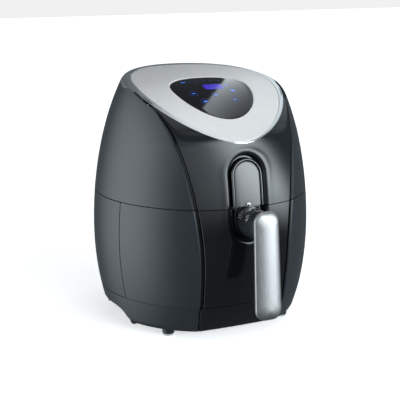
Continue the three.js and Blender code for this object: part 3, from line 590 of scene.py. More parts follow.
def make_rear():
    heights_low = np.linspace(SEAM_LOWER + HALF_GAP, GRILLE_LOW - 0.3, 34)
    heights_mid = np.linspace(GRILLE_LOW - 0.3, GRILLE_HIGH + 0.3, 16)[1:]
    outer, inner, opening = 22, 25, GRILLE_HALF + 0.3

    def turns_at(z):
        first = turn_at_y(REAR_JOINT_Y + HALF_GAP, np.array(z))
        radius = side_radius(np.array(3.0), z)
        mid = np.pi - np.arcsin(np.linspace(opening, -opening, inner) / radius)
        left = np.linspace(first, mid[0], outer, endpoint=False)
        right = 2 * np.pi - left[::-1]
        return np.concatenate([left, mid, right])

    count = outer * 2 + inner

    def row_at(z):
        return side_point(turns_at(z), np.full(count, z))

    def slanted_row(heights):
        return np.stack([row_at(z)[i] for i, z in enumerate(heights)])

    rows = [row_at(z) for z in (*heights_low, *heights_mid)]
    start = rows[-1]
    top = np.full(count, GRILLE_HIGH)
    low, high = top + 1.0, top + 50.0
    for _ in range(36):
        middle = (low + high) / 2
        point = slanted_row(middle)
        under = dome_z(point[:, 0], point[:, 1]) > middle
        low, high = np.where(under, middle, low), np.where(under, high, middle)
    end = low - ring_drop(np.array(99.0)) - 0.3
    for t in np.linspace(0.0, 1.0, 12)[1:]:
        rows.append(slanted_row(start[:, 2] + (end - start[:, 2]) * t))
    points = np.stack(rows)
    count_low = len(heights_low)
    count_mid = count_low + len(heights_mid) - 1

    def grille_opening(j, i):
        return count_low - 1 <= j < count_mid and outer <= i < outer + inner - 1

    faces = grid_faces(*points.shape[:2], skip=grille_opening)
    obj = piece("rear_cover_skin", points.reshape(-1, 3), faces, "housing", "matte_black", MATTE,
                ("rear_cover",))
    thicken(obj, WALL, 0.3)
    make_grille()
    make_gland()


def rear_strip(x0, x1, z0, z1, inset):
    z = np.linspace(z0, z1, 3)[:, None]
    x = np.linspace(x0, x1, 20)[None, :]
    radius = body_radius(z) - inset
    y = np.sqrt(radius**2 - x**2)
    return np.stack([x + 0 * z, y, z + 0 * x], -1)


def make_grille():
    slots = 7
    pitch = (GRILLE_HIGH - GRILLE_LOW) / slots
    edges = [GRILLE_LOW]
    for i in range(slots):
        middle = GRILLE_LOW + pitch * (i + 0.5)
        edges += [middle - 1.8, middle + 1.8]
    edges.append(GRILLE_HIGH)
    parts = []
    for k in range(0, len(edges), 2):
        parts.append(sheet(rear_strip(-GRILLE_HALF, GRILLE_HALF, edges[k], edges[k + 1], 0.3)))
    for x0, x1 in ((-GRILLE_HALF, -GRILLE_HALF + 4), (-2, 2), (GRILLE_HALF - 4, GRILLE_HALF)):
        parts.append(sheet(rear_strip(x0, x1, GRILLE_LOW + 0.4, GRILLE_HIGH - 0.4, 1.2)))
    points, faces = join_parts(parts)
    obj = piece("exhaust_grille_bars", points, faces, "housing", "matte_black", MATTE, ("exhaust_grille",))
    thicken(obj, 2.6, 0.5)


def make_gland():
    rear = span_mm("cord_gland", 1)[1] - AXIS_Y - 0.05
    flange = rear - 6.0
    profile = [(3.7, flange - 8), (7.3, flange - 8), (7.3, flange), (9.2, flange), (9.5, flange + 0.4),
               (9.4, flange + 1.6), (7.9, rear - 1.4), (7.4, rear - 0.4), (6.8, rear), (4.4, rear),
               (3.7, rear - 0.7)]
    points, faces = lathe(profile, (0, 0, 62), 48, "y")
    piece("cord_gland_boot", points, faces, "housing", "matte_black", MATTE, ("cord_gland",))


# ---- base ----------------------------------------------------------------------
CUT_PROFILE = (                                 # (Y, height) along the top of a hand hold
    (-44, 0), (-39, 12), (-36, 19), (-28, 24.5), (-16, 27),
    (26, 27), (38, 24.5), (46, 19), (49, 12), (54, 0),
)
CUT_FRONT_Y, CUT_REAR_Y = CUT_PROFILE[0][0], CUT_PROFILE[-1][0]
CUT_INNER_X = 92.0
BASE_CURL = ((0.6, 1.0), (1.6, 2.6), (3.4, 4.2), (5.5, 5.1))     # (inset, drop) under the base's edge


def cut_height(y):
    return np.interp(y, [p[0] for p in CUT_PROFILE], [p[1] for p in CUT_PROFILE], left=0.0, right=0.0)


def base_ring(turns, height):
    """One outline of the base at a share from its lower edge to the seam."""
    low = np.full(turns.shape, BASE_EDGE)
    for _ in range(8):
        at = side_point(turns, low)
        low = np.maximum(BASE_EDGE, cut_height(at[:, 1]))
    return low + (SEAM_LOWER - HALF_GAP - low) * height


def drawn_in(row, inset, drop):
    """A row of points moved towards the axis and down."""
    keep = 1.0 - inset / np.hypot(row[:, 0], row[:, 1])
    return row * np.stack([keep, keep, np.ones_like(keep)], -1) - (0, 0, drop)


def make_base():
    share = np.concatenate([np.linspace(0.0, 0.012, 5), np.linspace(0.02, 1.0, 150)])
    rows = []
    for height in np.linspace(1.0, 0.0, 16):
        first = crease_start(np.array(30.0))
        z = base_ring(first + (2 * np.pi - 2 * first) * share, height)
        first = crease_start(z)
        rows.append(side_point(first + (2 * np.pi - 2 * first) * share, z))
    lower = rows[-1]
    for inset, drop in BASE_CURL:
        in_cut = (lower[:, 2] > BASE_EDGE + 0.01)[:, None]
        rows.append(np.where(in_cut, drawn_in(lower, inset, -0.4), drawn_in(lower, inset, drop)))
    obj = piece("base_skirt", *sheet(rows), "housing", "satin_shell", SHELL, ("base_pan",))
    thicken(obj, 2.4, 0.4)
    make_base_floor()
    make_pockets()
    make_base_front()


def make_base_floor():
    turns = np.linspace(0.0, 2 * np.pi, 160, endpoint=False)
    outline = []
    for turn in turns:
        x, y = math.sin(turn), -math.cos(turn)
        from_front = min(turn, 2 * math.pi - turn)
        radius = float(side_radius(np.array(from_front), BASE_EDGE)) - 5.6
        if from_front < float(crease_angle(BASE_EDGE)):
            radius = abs(float(fascia_y(radius * x, BASE_EDGE)) / y) - 5.6
        px, py = radius * x, radius * y
        if CUT_FRONT_Y < py < CUT_REAR_Y:
            px = math.copysign(min(abs(px), CUT_INNER_X - 1.6), px)
        outline.append((px, py))
    rings = [[(x, y, z) for x, y in outline] for z in (BASE_BOTTOM + 0.1, BASE_BOTTOM + 2.6)]
    points, faces = loft(rings)
    obj = piece("base_floor", points, faces, "housing", "satin_shell", SHELL, sharp=30)
    soften(obj, 0.6)


def make_pockets():
    """The hand holds moulded into both sides of the base."""
    for sign, side in ((-1, "left"), (1, "right")):
        y = np.linspace(CUT_FRONT_Y, CUT_REAR_Y, 50)
        z = np.maximum(cut_height(y), BASE_BOTTOM + 0.5)
        radius = body_radius(np.maximum(z, BASE_EDGE)) - 2.0
        outer_x = np.sqrt(radius**2 - y**2)
        rows = []
        for t in np.linspace(0, 1, 8):
            rows.append(np.stack([outer_x + (CUT_INNER_X + 3 - outer_x) * t, y, z], -1))
        inner_x = 0 * y + CUT_INNER_X
        rows.append(np.stack([inner_x + 0.9, y, np.maximum(z - 0.9, BASE_BOTTOM + 0.3)], -1))
        rows.append(np.stack([inner_x, y, np.maximum(z - 3.0, BASE_BOTTOM + 0.2)], -1))
        rows.append(np.stack([inner_x, y, 0 * z + BASE_BOTTOM + 0.1], -1))
        points, faces = sheet(rows)
        obj = piece(f"hand_hold_{side}", mirrored(points, sign), faces, "housing", "satin_shell", SHELL,
                    out_from=(sign * 110, 0, 10))
        wall = obj.modifiers.new("wall", "SOLIDIFY")
        wall.thickness = 1.6 * MM
        wall.offset = -1.0


def make_base_front():
    rows = []
    share = np.linspace(-1.0, 1.0, 61)
    for z in np.linspace(SEAM_LOWER - HALF_GAP, BASE_EDGE, 14):
        half = float(crease_point(np.array(z))[0]) - CREASE_GAP
        x = half * np.sin(share * np.pi / 2)
        y = fascia_y(x, z) + roll(half - np.abs(x), FASCIA_ROLL)
        rows.append(np.stack([x, y, 0 * x + z], -1))
    lower = rows[-1]
    for inset, drop in BASE_CURL:
        rows.append(drawn_in(lower, inset, drop))
    obj = piece("base_front_skin", *sheet(rows), "housing", "gloss_black", GLOSS, ("base_front",))
    thicken(obj, 2.4, 0.4)


def make_feet():
    for place in ("front_left", "front_right", "rear_left", "rear_right"):
        node, pad = f"foot_{place}", f"pad_{place}"
        low, high = box_mm(node)
        x, y = (low[0] + high[0]) / 2, (low[1] + high[1]) / 2 - AXIS_Y
        radius = (high[0] - low[0]) / 2
        top, bottom = high[2] + 0.6, low[2]
        profile = [(0, bottom), (radius - 1.2, bottom), (radius - 0.5, bottom + 0.3),
                   (radius - 0.3, bottom + 1), (radius, top), (0, top)]
        piece(node + "_turned", *lathe(profile, (x, y, 0), 40), "housing", "matte_black", MATTE, (node,))
        low, high = box_mm(pad)
        radius = (high[0] - low[0]) / 2
        top = high[2] + 0.15
        profile = [(0, 0), (radius - 1.3, 0), (radius - 0.5, 0.3),
                   (radius - 0.1, 0.9), (radius, top), (0, top)]
        piece(pad + "_turned", *lathe(profile, (x, y, 0), 40), "housing", "pad", RUBBER, (pad,))


# ---- fascia panels with the handle recess -------------------------------------------
def spine_columns(near, end_z, count_side, count_arc):
    """Centre and outward direction of each column along one side of a spine, round its end and back."""
    outward = 1 if end_z > near else -1
    columns = [((0.0, z), (-1.0, 0.0)) for z in np.linspace(near, end_z, count_side, endpoint=False)]
    for turn in np.linspace(math.pi, 0.0, count_arc):
        columns.append(((0.0, end_z), (math.cos(turn), outward * math.sin(turn))))
    columns += [((0.0, z), (1.0, 0.0)) for z in np.linspace(end_z, near, count_side + 1)[1:]]
    return columns


def recess_columns(upper, count_side, count_arc):
    """Columns round one half of the recess outline."""
    if upper:
        return spine_columns(SEAM_UPPER + HALF_GAP, RECESS_TOP - RECESS_HALF_WIDTH, count_side, count_arc)
    return spine_columns(SEAM_UPPER - HALF_GAP, RECESS_BOTTOM + RECESS_HALF_WIDTH, count_side, count_arc)


RECESS_PROFILE = (
    # outline offset inwards, depth
    (-1.6, -0.22), (-0.9, -0.05), (-0.2, 0.35), (0.5, 0.95), (1.3, 1.9), (2.3, 3.2), (3.0, 4.2), (3.4, 5.4),
    (3.6, 7.0), (3.9, 8.3), (4.6, 8.9), (6.0, RECESS_DEPTH), (14.0, RECESS_DEPTH),
    (RECESS_HALF_WIDTH, RECESS_DEPTH),
)
RIM_REACH = RECESS_HALF_WIDTH + 2.2             # outline where the rim of the recess begins
RIM_LIFT, RIM_MIDDLE, RIM_SPREAD = 0.55, 3.5, 4.0               # low swell of the panel round the rim


def outer_boundary(upper, count_side, count_arc, far):
    """Matching points on the creases and on the far edge: up the left crease, across, down the right."""
    near = SEAM_UPPER + HALF_GAP if upper else SEAM_UPPER - HALF_GAP
    corner = count_side + count_arc // 4
    total = 2 * count_side + count_arc
    z_side = np.linspace(near, far, corner + 1)
    side = [(-(float(crease_point(np.array(z))[0]) - FASCIA_GAP), z) for z in z_side]
    half = -side[-1][0]
    across = [(x, far) for x in half * np.linspace(-1, 1, total - 2 * corner)[1:-1]]
    other = [(-x, z) for x, z in reversed(side)]
    return side + across + other


def fascia_block(upper, far):
    """Rows of points from the flange at the creases inwards, over the rim and down to the recess floor."""
    count_side, count_arc = 16, 33
    columns = recess_columns(upper, count_side, count_arc)
    border = outer_boundary(upper, count_side, count_arc, far)
    shares = 1.0 - (1.0 - np.linspace(0.0, 1.0, 30)) ** 1.6
    rows = [[(x + math.copysign(FLANGE_REACH, x), z, FLANGE_DEPTH + 0.4) for x, z in border],
            [(x, z, FLANGE_DEPTH) for x, z in border]]
    for share in shares[::-1][:-1]:
        row = []
        for ((cx, cz), (nx, nz)), (bx, bz) in zip(columns, border):
            x = (cx + RIM_REACH * nx) * (1 - share) + bx * share
            z = (cz + RIM_REACH * nz) * (1 - share) + bz * share
            away = math.hypot(x - cx, z - cz) - RECESS_HALF_WIDTH
            row.append((x, z, -RIM_LIFT * math.exp(-((away - RIM_MIDDLE) / RIM_SPREAD) ** 2)))
        rows.append(row)
    for offset, depth in RECESS_PROFILE:
        reach = RECESS_HALF_WIDTH - offset
        rows.append([(cx + reach * nx, cz + reach * nz, depth) for (cx, cz), (nx, nz) in columns])
    flat = np.array(rows)
    x, z, depth = flat[..., 0], flat[..., 1], flat[..., 2]
    half = crease_point(z)[0] - FASCIA_GAP
    y = fascia_y(x, z) + depth + roll(np.maximum(half - np.abs(x), 0.0), FASCIA_ROLL)
    on_side = np.abs(x[0]) > 0.97 * half[0]
    x[0] = np.where(on_side, x[0], np.sign(x[0]) * (np.abs(x[0]) - FLANGE_REACH))
    return np.stack([x, y, z], -1), border


def make_drawer_fascia():
    points, _ = fascia_block(False, SEAM_LOWER + HALF_GAP)
    obj = piece("drawer_fascia_skin", *sheet(points), "drawer", "gloss_black", GLOSS, ("drawer_fascia",))
    thicken(obj, 2.6, 0.3)


def make_upper_fascia():
    points, border = fascia_block(True, TIP_Z)
    top_x = np.array(sorted(x for x, z in border if abs(z - TIP_Z) < 1e-6))
    half = float(crease_point(np.array(TIP_Z))[0]) - FASCIA_GAP
    apex = float(EDGE_Z[-1]) - 1.0
    parts = [sheet(points)]
    for sign in (-1, 1):
        xs = np.abs(top_x[top_x * sign >= -1e-6])
        shares = np.sort(xs) / half
        rows = []
        for t in np.linspace(0.0, 1.0, 60):
            z = TIP_Z + (apex - TIP_Z) * t
            edge_x, _ = ring_edge_at(z)
            crease_x = max(float(crease_point(np.array(z))[0]) - FASCIA_GAP, edge_x + 0.05)
            x = edge_x + (crease_x - edge_x) * shares
            narrow = min(1.0, (crease_x - edge_x) / 8.0)
            y = fascia_y(x, z) + roll(np.maximum(crease_x - x, 0.0), max(0.2, FASCIA_ROLL * narrow))
            x = np.append(x, [x[-1], x[-1] + FLANGE_REACH * narrow])
            y = np.append(y, [y[-1] + FLANGE_DEPTH * narrow, y[-1] + (FLANGE_DEPTH + 0.4) * narrow])
            rows.append(np.stack([sign * x, y, 0 * x + z], -1))
        parts.append(sheet(rows))
    joined, faces = join_parts(parts)
    obj = piece("upper_fascia_skin", joined, faces, "housing", "gloss_black", FASCIA, ("upper_fascia",))
    thicken(obj, 2.4, 0.3)


# ---- plaque and its chrome frame ------------------------------------------------------
def form_row(columns, reach, lift):
    """Points at a distance from the oblong's spine, standing proud of the recess floor."""
    out = []
    for (cx, cz), (nx, nz) in columns:
        x, z = cx + reach * nx, cz + reach * nz
        out.append((x, float(fascia_y(x, z)) + RECESS_DEPTH - lift, z))
    return out


def make_plaque():
    half = PLAQUE_HALF_WIDTH
    columns = spine_columns(PLAQUE_BOTTOM, PLAQUE_TOP - half, 14, 41)
    profile = ((half, 0.2), (half, 6.4), (half - 0.25, 7.0), (half - 0.9, 7.35), (half - 2.0, 7.5),
               (half * 0.6, 7.6), (half * 0.3, 7.6), (0.0, 7.6))
    rows = [form_row(columns, reach, lift) for reach, lift in profile]
    obj = piece("plaque_face", *sheet(rows), "housing", "satin_silver", PLAQUE_METAL, ("plaque",),
                out_from=(0, 0, 195))
    thicken(obj, 1.0, 0.25)
    inner, outer = half + 0.35, FRAME_HALF_WIDTH
    section = ((inner, 0.3), (inner, 7.6), (inner + 0.35, 8.4), (inner + 1.0, 8.8), (outer - 1.1, 8.7),
               (outer - 0.35, 8.1), (outer, 7.0), (outer, 0.3))
    points = np.array([form_row(columns, reach, lift) for reach, lift in section]).transpose(1, 0, 2)
    piece("plaque_frame_rim", *loft(points), "housing", "chrome", DARK_CHROME, ("plaque_frame",), sharp=50)


# ---- sloping top ----------------------------------------------------------------
TOP_TURNS = np.linspace(0.0, 2 * np.pi, 160, endpoint=False)


def top_ring(x, y, lift=0.0):
    return np.stack([x, y, dome_z(x, y) + lift], -1)


def ring_corner():
    """The ring's outer corner: the plan's edge in front, the body's own corner at the sides and rear."""
    plan_x, plan_y = plan_point(RING, TOP_TURNS)
    body_x, body_y = body_corner(plan_x, plan_y)
    share = smooth_step((plan_y + 27.0) / 30.0)
    return plan_x + (body_x - plan_x) * share, plan_y + (body_y - plan_y) * share


def make_ring():
    outer_x, outer_y = ring_corner()
    inner_x, inner_y = plan_point(PLATE, TOP_TURNS, 0.35)
    width = np.hypot(outer_x - inner_x, outer_y - inner_y)
    corner = top_ring(outer_x, outer_y)
    drop = ring_drop(outer_y)
    turn = np.arctan2(np.abs(outer_x), -outer_y)
    skirt_z = corner[:, 2] - drop
    skirt = side_point(turn, skirt_z)
    skirt[:, 0] *= np.sign(outer_x)
    front = np.clip(1.0 - drop / 1.5, 0.0, 1.0)[:, None]
    edge = 1.2
    front_low = corner - (0, 0, edge)
    low = skirt * (1 - front) + front_low * front
    bend_in = np.minimum(np.maximum(edge, drop * 1.15), width * 0.75) / width
    flat = top_ring(outer_x + (inner_x - outer_x) * bend_in, outer_y + (inner_y - outer_y) * bend_in)
    keep = np.array([0.97, 0.97, 1.0])
    rows = [low * keep - (0, 0, 2.0), low * np.array([0.995, 0.995, 1.0]) - (0, 0, 0.1), low]
    for t in np.linspace(0.0, 1.0, 12)[1:]:
        rows.append((1 - t) ** 2 * low + 2 * t * (1 - t) * corner + t**2 * flat)
    for share in (0.3, 0.6, 0.85, 0.97, 1.0):
        at = bend_in + (1.0 - bend_in) * share
        x, y = outer_x + (inner_x - outer_x) * at, outer_y + (inner_y - outer_y) * at
        rows.append(top_ring(x, y, -0.25 if share == 1.0 else 0.0))
    rows.append(top_ring(inner_x, inner_y, -3.4))
    points = np.stack(rows).transpose(1, 0, 2)
    piece("trim_ring_band", *loft(points, wrap_path=True), "housing", "satin_silver", SILVER, ("trim_ring",),
          sharp=50)


def glass_outline(grow=0.0):
    return plan_point(GLASS, TOP_TURNS, grow, GLASS_MIDDLE_Y, (GLASS_FRONT_POWER, GLASS_REAR_POWER))


def make_plate():
    outer_x, outer_y = plan_point(PLATE, TOP_TURNS)
    hole_x, hole_y = glass_outline(0.35)
    rows = [top_ring(hole_x, hole_y, -2.6), top_ring(hole_x, hole_y, -0.35)]
    rows.append(top_ring(*glass_outline(0.7)))
    for share in np.linspace(0.05, 0.97, 22):
        rows.append(top_ring(hole_x + (outer_x - hole_x) * share, hole_y + (outer_y - hole_y) * share))
    rows.append(top_ring(*plan_point(PLATE, TOP_TURNS, -0.5)))
    rows.append(top_ring(*plan_point(PLATE, TOP_TURNS, -0.1), -0.35))
    rows.append(top_ring(outer_x, outer_y, -2.6))
    points = np.stack(rows).transpose(1, 0, 2)
    piece("top_plate_brushed", *loft(points, wrap_path=True), "housing", "brushed_metal", PLATE_METAL,
          ("top_plate",), sharp=50)


def make_glass():
    outer_x, outer_y = glass_outline()
    rows = [top_ring(outer_x, outer_y, -2.6), top_ring(outer_x, outer_y, -0.4)]
    rows.append(top_ring(*glass_outline(-0.4), -0.08))
    for share in np.linspace(0.97, 0.0, 16):
        x, y = outer_x * share, GLASS_MIDDLE_Y + (outer_y - GLASS_MIDDLE_Y) * share
        rows.append(top_ring(x, y))
    points, faces = sheet(rows, wrap=True)
    faces.append(tuple(range(len(TOP_TURNS))))
    piece("touch_glass_pane", points, faces, "housing", "glass_black", WINDOW, ("touch_glass",), sharp=50)


def flat_mark(outline):
    """A thin raised mark on the glass over a closed outline of (x, y)."""
    outline = np.asarray(outline, float)
    middle = outline.mean(0)
    rings = []
    for share, lift in ((0.02, -0.1), (1.0, -0.1), (1.0, 0.05), (0.8, 0.06), (0.6, 0.06),
                        (0.4, 0.06), (0.2, 0.06), (0.02, 0.06)):
        flat = middle + (outline - middle) * share
        rings.append(np.column_stack([flat, dome_z(flat[:, 0], flat[:, 1]) + lift]))
    return loft(np.stack(rings))


def ring_mark(x, y, radius, width):
    turns = np.linspace(0.0, 2 * np.pi, 40, endpoint=False)
    rings = []
    for turn in turns:
        points = []
        for r, lift in ((radius - width, -0.1), (radius, -0.1), (radius, 0.06), (radius - width, 0.06)):
            px, py = x + r * math.cos(turn), y + r * math.sin(turn)
            points.append((px, py, float(dome_z(px, py)) + lift))
        rings.append(points)
    return loft(rings, wrap_path=True)


def bar_mark(x, y, length, width):
    turns = np.linspace(0.0, 2 * np.pi, 24, endpoint=False)
    reach = (length - width) / 2
    outline = [(x + math.copysign(reach, math.cos(t)) + width / 2 * math.cos(t), y + width / 2 * math.sin(t))
               for t in turns]
    return flat_mark(outline)


def make_display():
    """A generic lit panel: a digit block, five touch buttons and two indicator bars."""
    block = []
    for turn in np.linspace(0.0, 2 * np.pi, 48, endpoint=False):
        c, s = math.cos(turn), math.sin(turn)
        block.append((5.0 + 13.0 * np.sign(c) * abs(c) ** 0.35, -28.0 + 6.6 * np.sign(s) * abs(s) ** 0.35))
    piece("display_block", *flat_mark(block), "housing", "glass_black", VIOLET)
    buttons = ((-28.0, -41.5), (-0.8, -47.5), (26.5, -40.0), (20.0, -59.0), (-20.5, -58.7))
    rings = [ring_mark(x, y, 5.6, 0.45) for x, y in buttons]
    piece("button_rings", *join_parts(rings), "housing", "glass_black", FAINT)
    glyphs = []
    for k, (x, y) in enumerate(buttons):
        glyphs.append(bar_mark(x, y, 4.4 if k % 2 else 5.2, 1.5 + 0.9 * (k % 3)))
    glyphs += [bar_mark(-29.0, -11.3, 7.0, 1.7), bar_mark(23.4, -27.0, 4.6, 1.7)]
    piece("button_glyphs", *join_parts(glyphs), "housing", "glass_black", BLUE)
    faint = [bar_mark(-19.0 + 9.5 * k, -10.8, 4.4, 0.8) for k in range(5)]
    piece("mode_row", *join_parts(faint), "housing", "glass_black", FAINT)


# ---- handle --------------------------------------------------------------------
def make_arm():
    steps = []
    for y, shrink in ((-104.0, 0.0), (-120.0, 0.0), (BUTTON_Y + 12, 0.0), (BUTTON_Y - 12, 0.0),
                      (-165.0, 0.0), (-172.0, 0.3), (-177.0, 1.2)):
        half = ARM_HALF_WIDTH - 0.1 - shrink
        ring = []
        for turn in np.linspace(0.0, 2 * np.pi, 64, endpoint=False):
            c, s = math.cos(turn), math.sin(turn)
            centre = ARM_TOP - ARM_HALF_WIDTH if s >= 0 else ARM_BOTTOM + ARM_HALF_WIDTH
            ring.append((half * c, y, centre + half * s))
        steps.append(ring)
    points, faces = loft(steps)
    piece("handle_arm_tube", points, faces, "drawer", "matte_black", ARM_PLASTIC, ("handle_arm",), sharp=30)


def make_collar():
    inner, outer = ARM_HALF_WIDTH + 0.35, ARM_HALF_WIDTH + 2.6
    columns = spine_columns(SEAM_UPPER - 2.2, ARM_BOTTOM + ARM_HALF_WIDTH, 8, 41)
    section = ((inner, 0.3), (inner, 4.2), (inner + 0.5, 4.9),
               (outer - 0.6, 4.9), (outer, 4.2), (outer, 0.3))
    points = np.array([form_row(columns, reach, lift) for reach, lift in section]).transpose(1, 0, 2)
    piece("arm_collar_rim", *loft(points), "drawer", "gloss_black", GLOSS, ("arm_collar",), sharp=50)


def grip_outline(shrink):
    """Front view of the grip drawn in by an amount, with its slight widening downwards."""
    corner, steps = GRIP_CORNER, 16
    middle = (GRIP_TOP + GRIP_BOTTOM) / 2
    half_height = (GRIP_TOP - GRIP_BOTTOM) / 2
    points = []
    for z_sign, x_sign, first in ((1, 1, 0.0), (1, -1, 0.5), (-1, -1, 1.0), (-1, 1, 1.5)):
        for k in range(steps + 1):
            turn = (first + 0.5 * k / steps) * math.pi
            z = middle + z_sign * (half_height - corner) + corner * math.sin(turn)
            wide = GRIP_TOP_HALF + GRIP_WIDENING * (GRIP_TOP - z) / (GRIP_TOP - GRIP_BOTTOM)
            x = x_sign * (wide - corner) + corner * math.cos(turn)
            points.append((x, z))
    points = np.array(points)
    keep_x = 1.0 - shrink / 15.0
    keep_z = 1.0 - shrink / half_height
    return points[:, 0] * keep_x, middle + (points[:, 1] - middle) * keep_z


def grip_ring(shrink, depth):
    x, z = grip_outline(shrink)
    bottom_y = GRIP_FRONT_Y + 1.6
    face_y = bottom_y + GRIP_LEAN * (z - (GRIP_BOTTOM + 6.0))
    return np.stack([x, face_y + depth, z], -1)


def make_grip():
    edge, bow = 1.4, 4.6
    profile = [(15.0, -1.6)]
    for shrink in (13.0, 11.0, 9.0, 7.5, 6.0, 4.8, 3.7, 2.7, 2.0):
        profile.append((shrink, -1.6 + bow * ((15.0 - shrink) / 15.0) ** 2.3))
    for turn in np.linspace(0.6, np.pi / 2, 6):
        profile.append((edge * (1 - math.sin(turn)), 4.3 - edge * math.cos(turn)))
    profile += [(0.0, 6.6), (0.25, 7.3), (0.8, 7.6), (3.0, 7.6), (3.1, 4.4), (15.0, 4.4)]
    rings = np.stack([grip_ring(shrink, depth) for shrink, depth in profile])
    piece("grip_front_cover", *sheet(rings, wrap=True), "drawer", "satin_silver", GRIP_METAL,
          ("grip_front",), sharp=50)
    profile = [(15.0, 4.8), (3.6, 4.8), (3.6, 8.8), (4.0, 9.7), (4.9, 10.1), (15.0, 10.2)]
    rings = np.stack([grip_ring(shrink, depth) for shrink, depth in profile])
    piece("grip_back_shell", *sheet(rings, wrap=True), "drawer", "matte_black", ARM_PLASTIC,
          ("grip_back",), sharp=50)


def make_button():
    bottom, top = span_mm("release_button", 2)
    radius = BUTTON_RADIUS
    profile = [(5.5, bottom), (radius, bottom), (radius, top - 1.2), (radius - 0.35, top - 0.4),
               (radius - 1.1, top), (3.0, top - 0.35), (0.0, top - 0.45), (0.0, top - 2.0), (5.5, top - 2.0)]
    piece("release_button_cap", *lathe(profile, (0, BUTTON_Y, 0), 56), "release_button", "satin_silver",
          SILVER, ("release_button",))


def wire_ring(centre, turn, wire, sides):
    """Outline of a round wire that winds about the vertical, where it has come to an angle."""
    out = np.array([math.cos(turn), math.sin(turn), 0.0])
    up = np.array([0.0, 0.0, 1.0])
    around = np.linspace(0, 2 * math.pi, sides, endpoint=False)
    return [centre + wire * (math.cos(a) * out + math.sin(a) * up) for a in around]


def make_spring():
    turns, steps, sides = 5, 150, 10
    coil, wire = 4, 0.45
    low, high = span_mm("button_spring", 2)
    rings = []
    for i in range(steps + 1):
        share = i / steps
        turn = turns * 2 * math.pi * share
        z = low + wire + (high - low - 2 * wire) * share
        centre = np.array([coil * math.cos(turn), BUTTON_Y + coil * math.sin(turn), z])
        rings.append(wire_ring(centre, turn, wire, sides))
    piece("button_spring_coil", *loft(rings), "drawer", "sheet_steel", STEEL, ("button_spring",))


def make_guard():
    middle = ARM_TOP - ARM_HALF_WIDTH
    low, high = box_mm("button_guard")
    y0, y1 = low[1] - AXIS_Y, high[1] - AXIS_Y
    inner, outer = ARM_HALF_WIDTH + 0.3, ARM_HALF_WIDTH + 2.1
    base = math.asin((156.0 - middle) / outer)
    rings = []
    for k, turn in enumerate(np.linspace(base, math.pi - base, 37)):
        c, s = math.cos(turn), math.sin(turn)
        outer = ARM_HALF_WIDTH + (2.2 if k % 2 else 1.5)
        section = ((inner, y0 + 0.5), (inner + 0.4, y0 + 0.1), (outer - 0.5, y0 + 0.1), (outer, y0 + 0.7),
                   (outer, (y0 + y1) / 2), (outer, y1 - 0.7), (outer - 0.5, y1 - 0.1),
                   (inner + 0.4, y1 - 0.1), (inner, y1 - 0.5), (inner, (y0 + y1) / 2))
        rings.append([(r * c, y, middle + r * s) for r, y in section])
    arch = loft(rings)
    loop = lathe([(1.5, y1 - 2.8), (3.2, y1 - 2.9), (3.3, y1 - 1.5), (3.2, y1 - 0.1), (1.5, y1 - 0.2)],
                 (0, 0, ARM_TOP + 3.1), 32, "y")
    piece("button_guard_clear", *join_parts([arch, loop]), "button_guard", "clear", CLEAR,
          ("button_guard",), sharp=50)


# ---- pan and basket --------------------------------------------------------------
PAN_PLAN = (95.0, -106.0, 86.0)


def tub_ring(inset, z):
    turns = np.linspace(0.0, 2 * np.pi, 120, endpoint=False)
    x, y = plan_point(PAN_PLAN, turns, -inset, -8.0, (3.2, 3.2))
    return np.stack([x, y, 0 * x + z], -1)


def tub_profile(inset, floor, rim, draft, wall=1.2):
    """Outside and inside of a sheet tub, as (inset, height) from the floor up and down again."""
    outside = [(draft + 7, floor), (draft + 3.5, floor + 1.0), (draft + 1.0, floor + 3.5),
               (draft, floor + 7), (3, rim - 5), (2.2, rim - 4.2), (0.4, rim - 3.9),
               (0.0, rim - 3.2), (0.0, rim - 0.8), (0.5, rim)]
    inside = [(2.6, rim), (3.6, rim - 0.8), (3 + wall, rim - 5), (draft + wall, floor + 8),
              (draft + 1.0 + wall, floor + 4.7), (draft + 3.5 + wall, floor + 2.2),
              (draft + 7 + wall, floor + wall)]
    return [(inset + grow, z) for grow, z in outside], [(inset + grow, z) for grow, z in inside]


def flat_disc(ring, z):
    """Rows from an outline to its middle at one height."""
    middle = np.array([0.0, -10.0, z])
    return [middle + (ring - middle) * share for share in np.linspace(1.0, 0.0, 6)[1:]]


def make_pan():
    outside, inside = tub_profile(0.0, 52.0, 158.0, 6.0)
    rows = [tub_ring(g, z) for g, z in outside + inside]
    rows = flat_disc(rows[0], 52.0)[::-1] + rows + flat_disc(rows[-1], 53.2)
    piece("drawer_pan_tub", *sheet(rows, wrap=True), "drawer", "nonstick", NONSTICK,
          ("drawer_pan",), sharp=60)


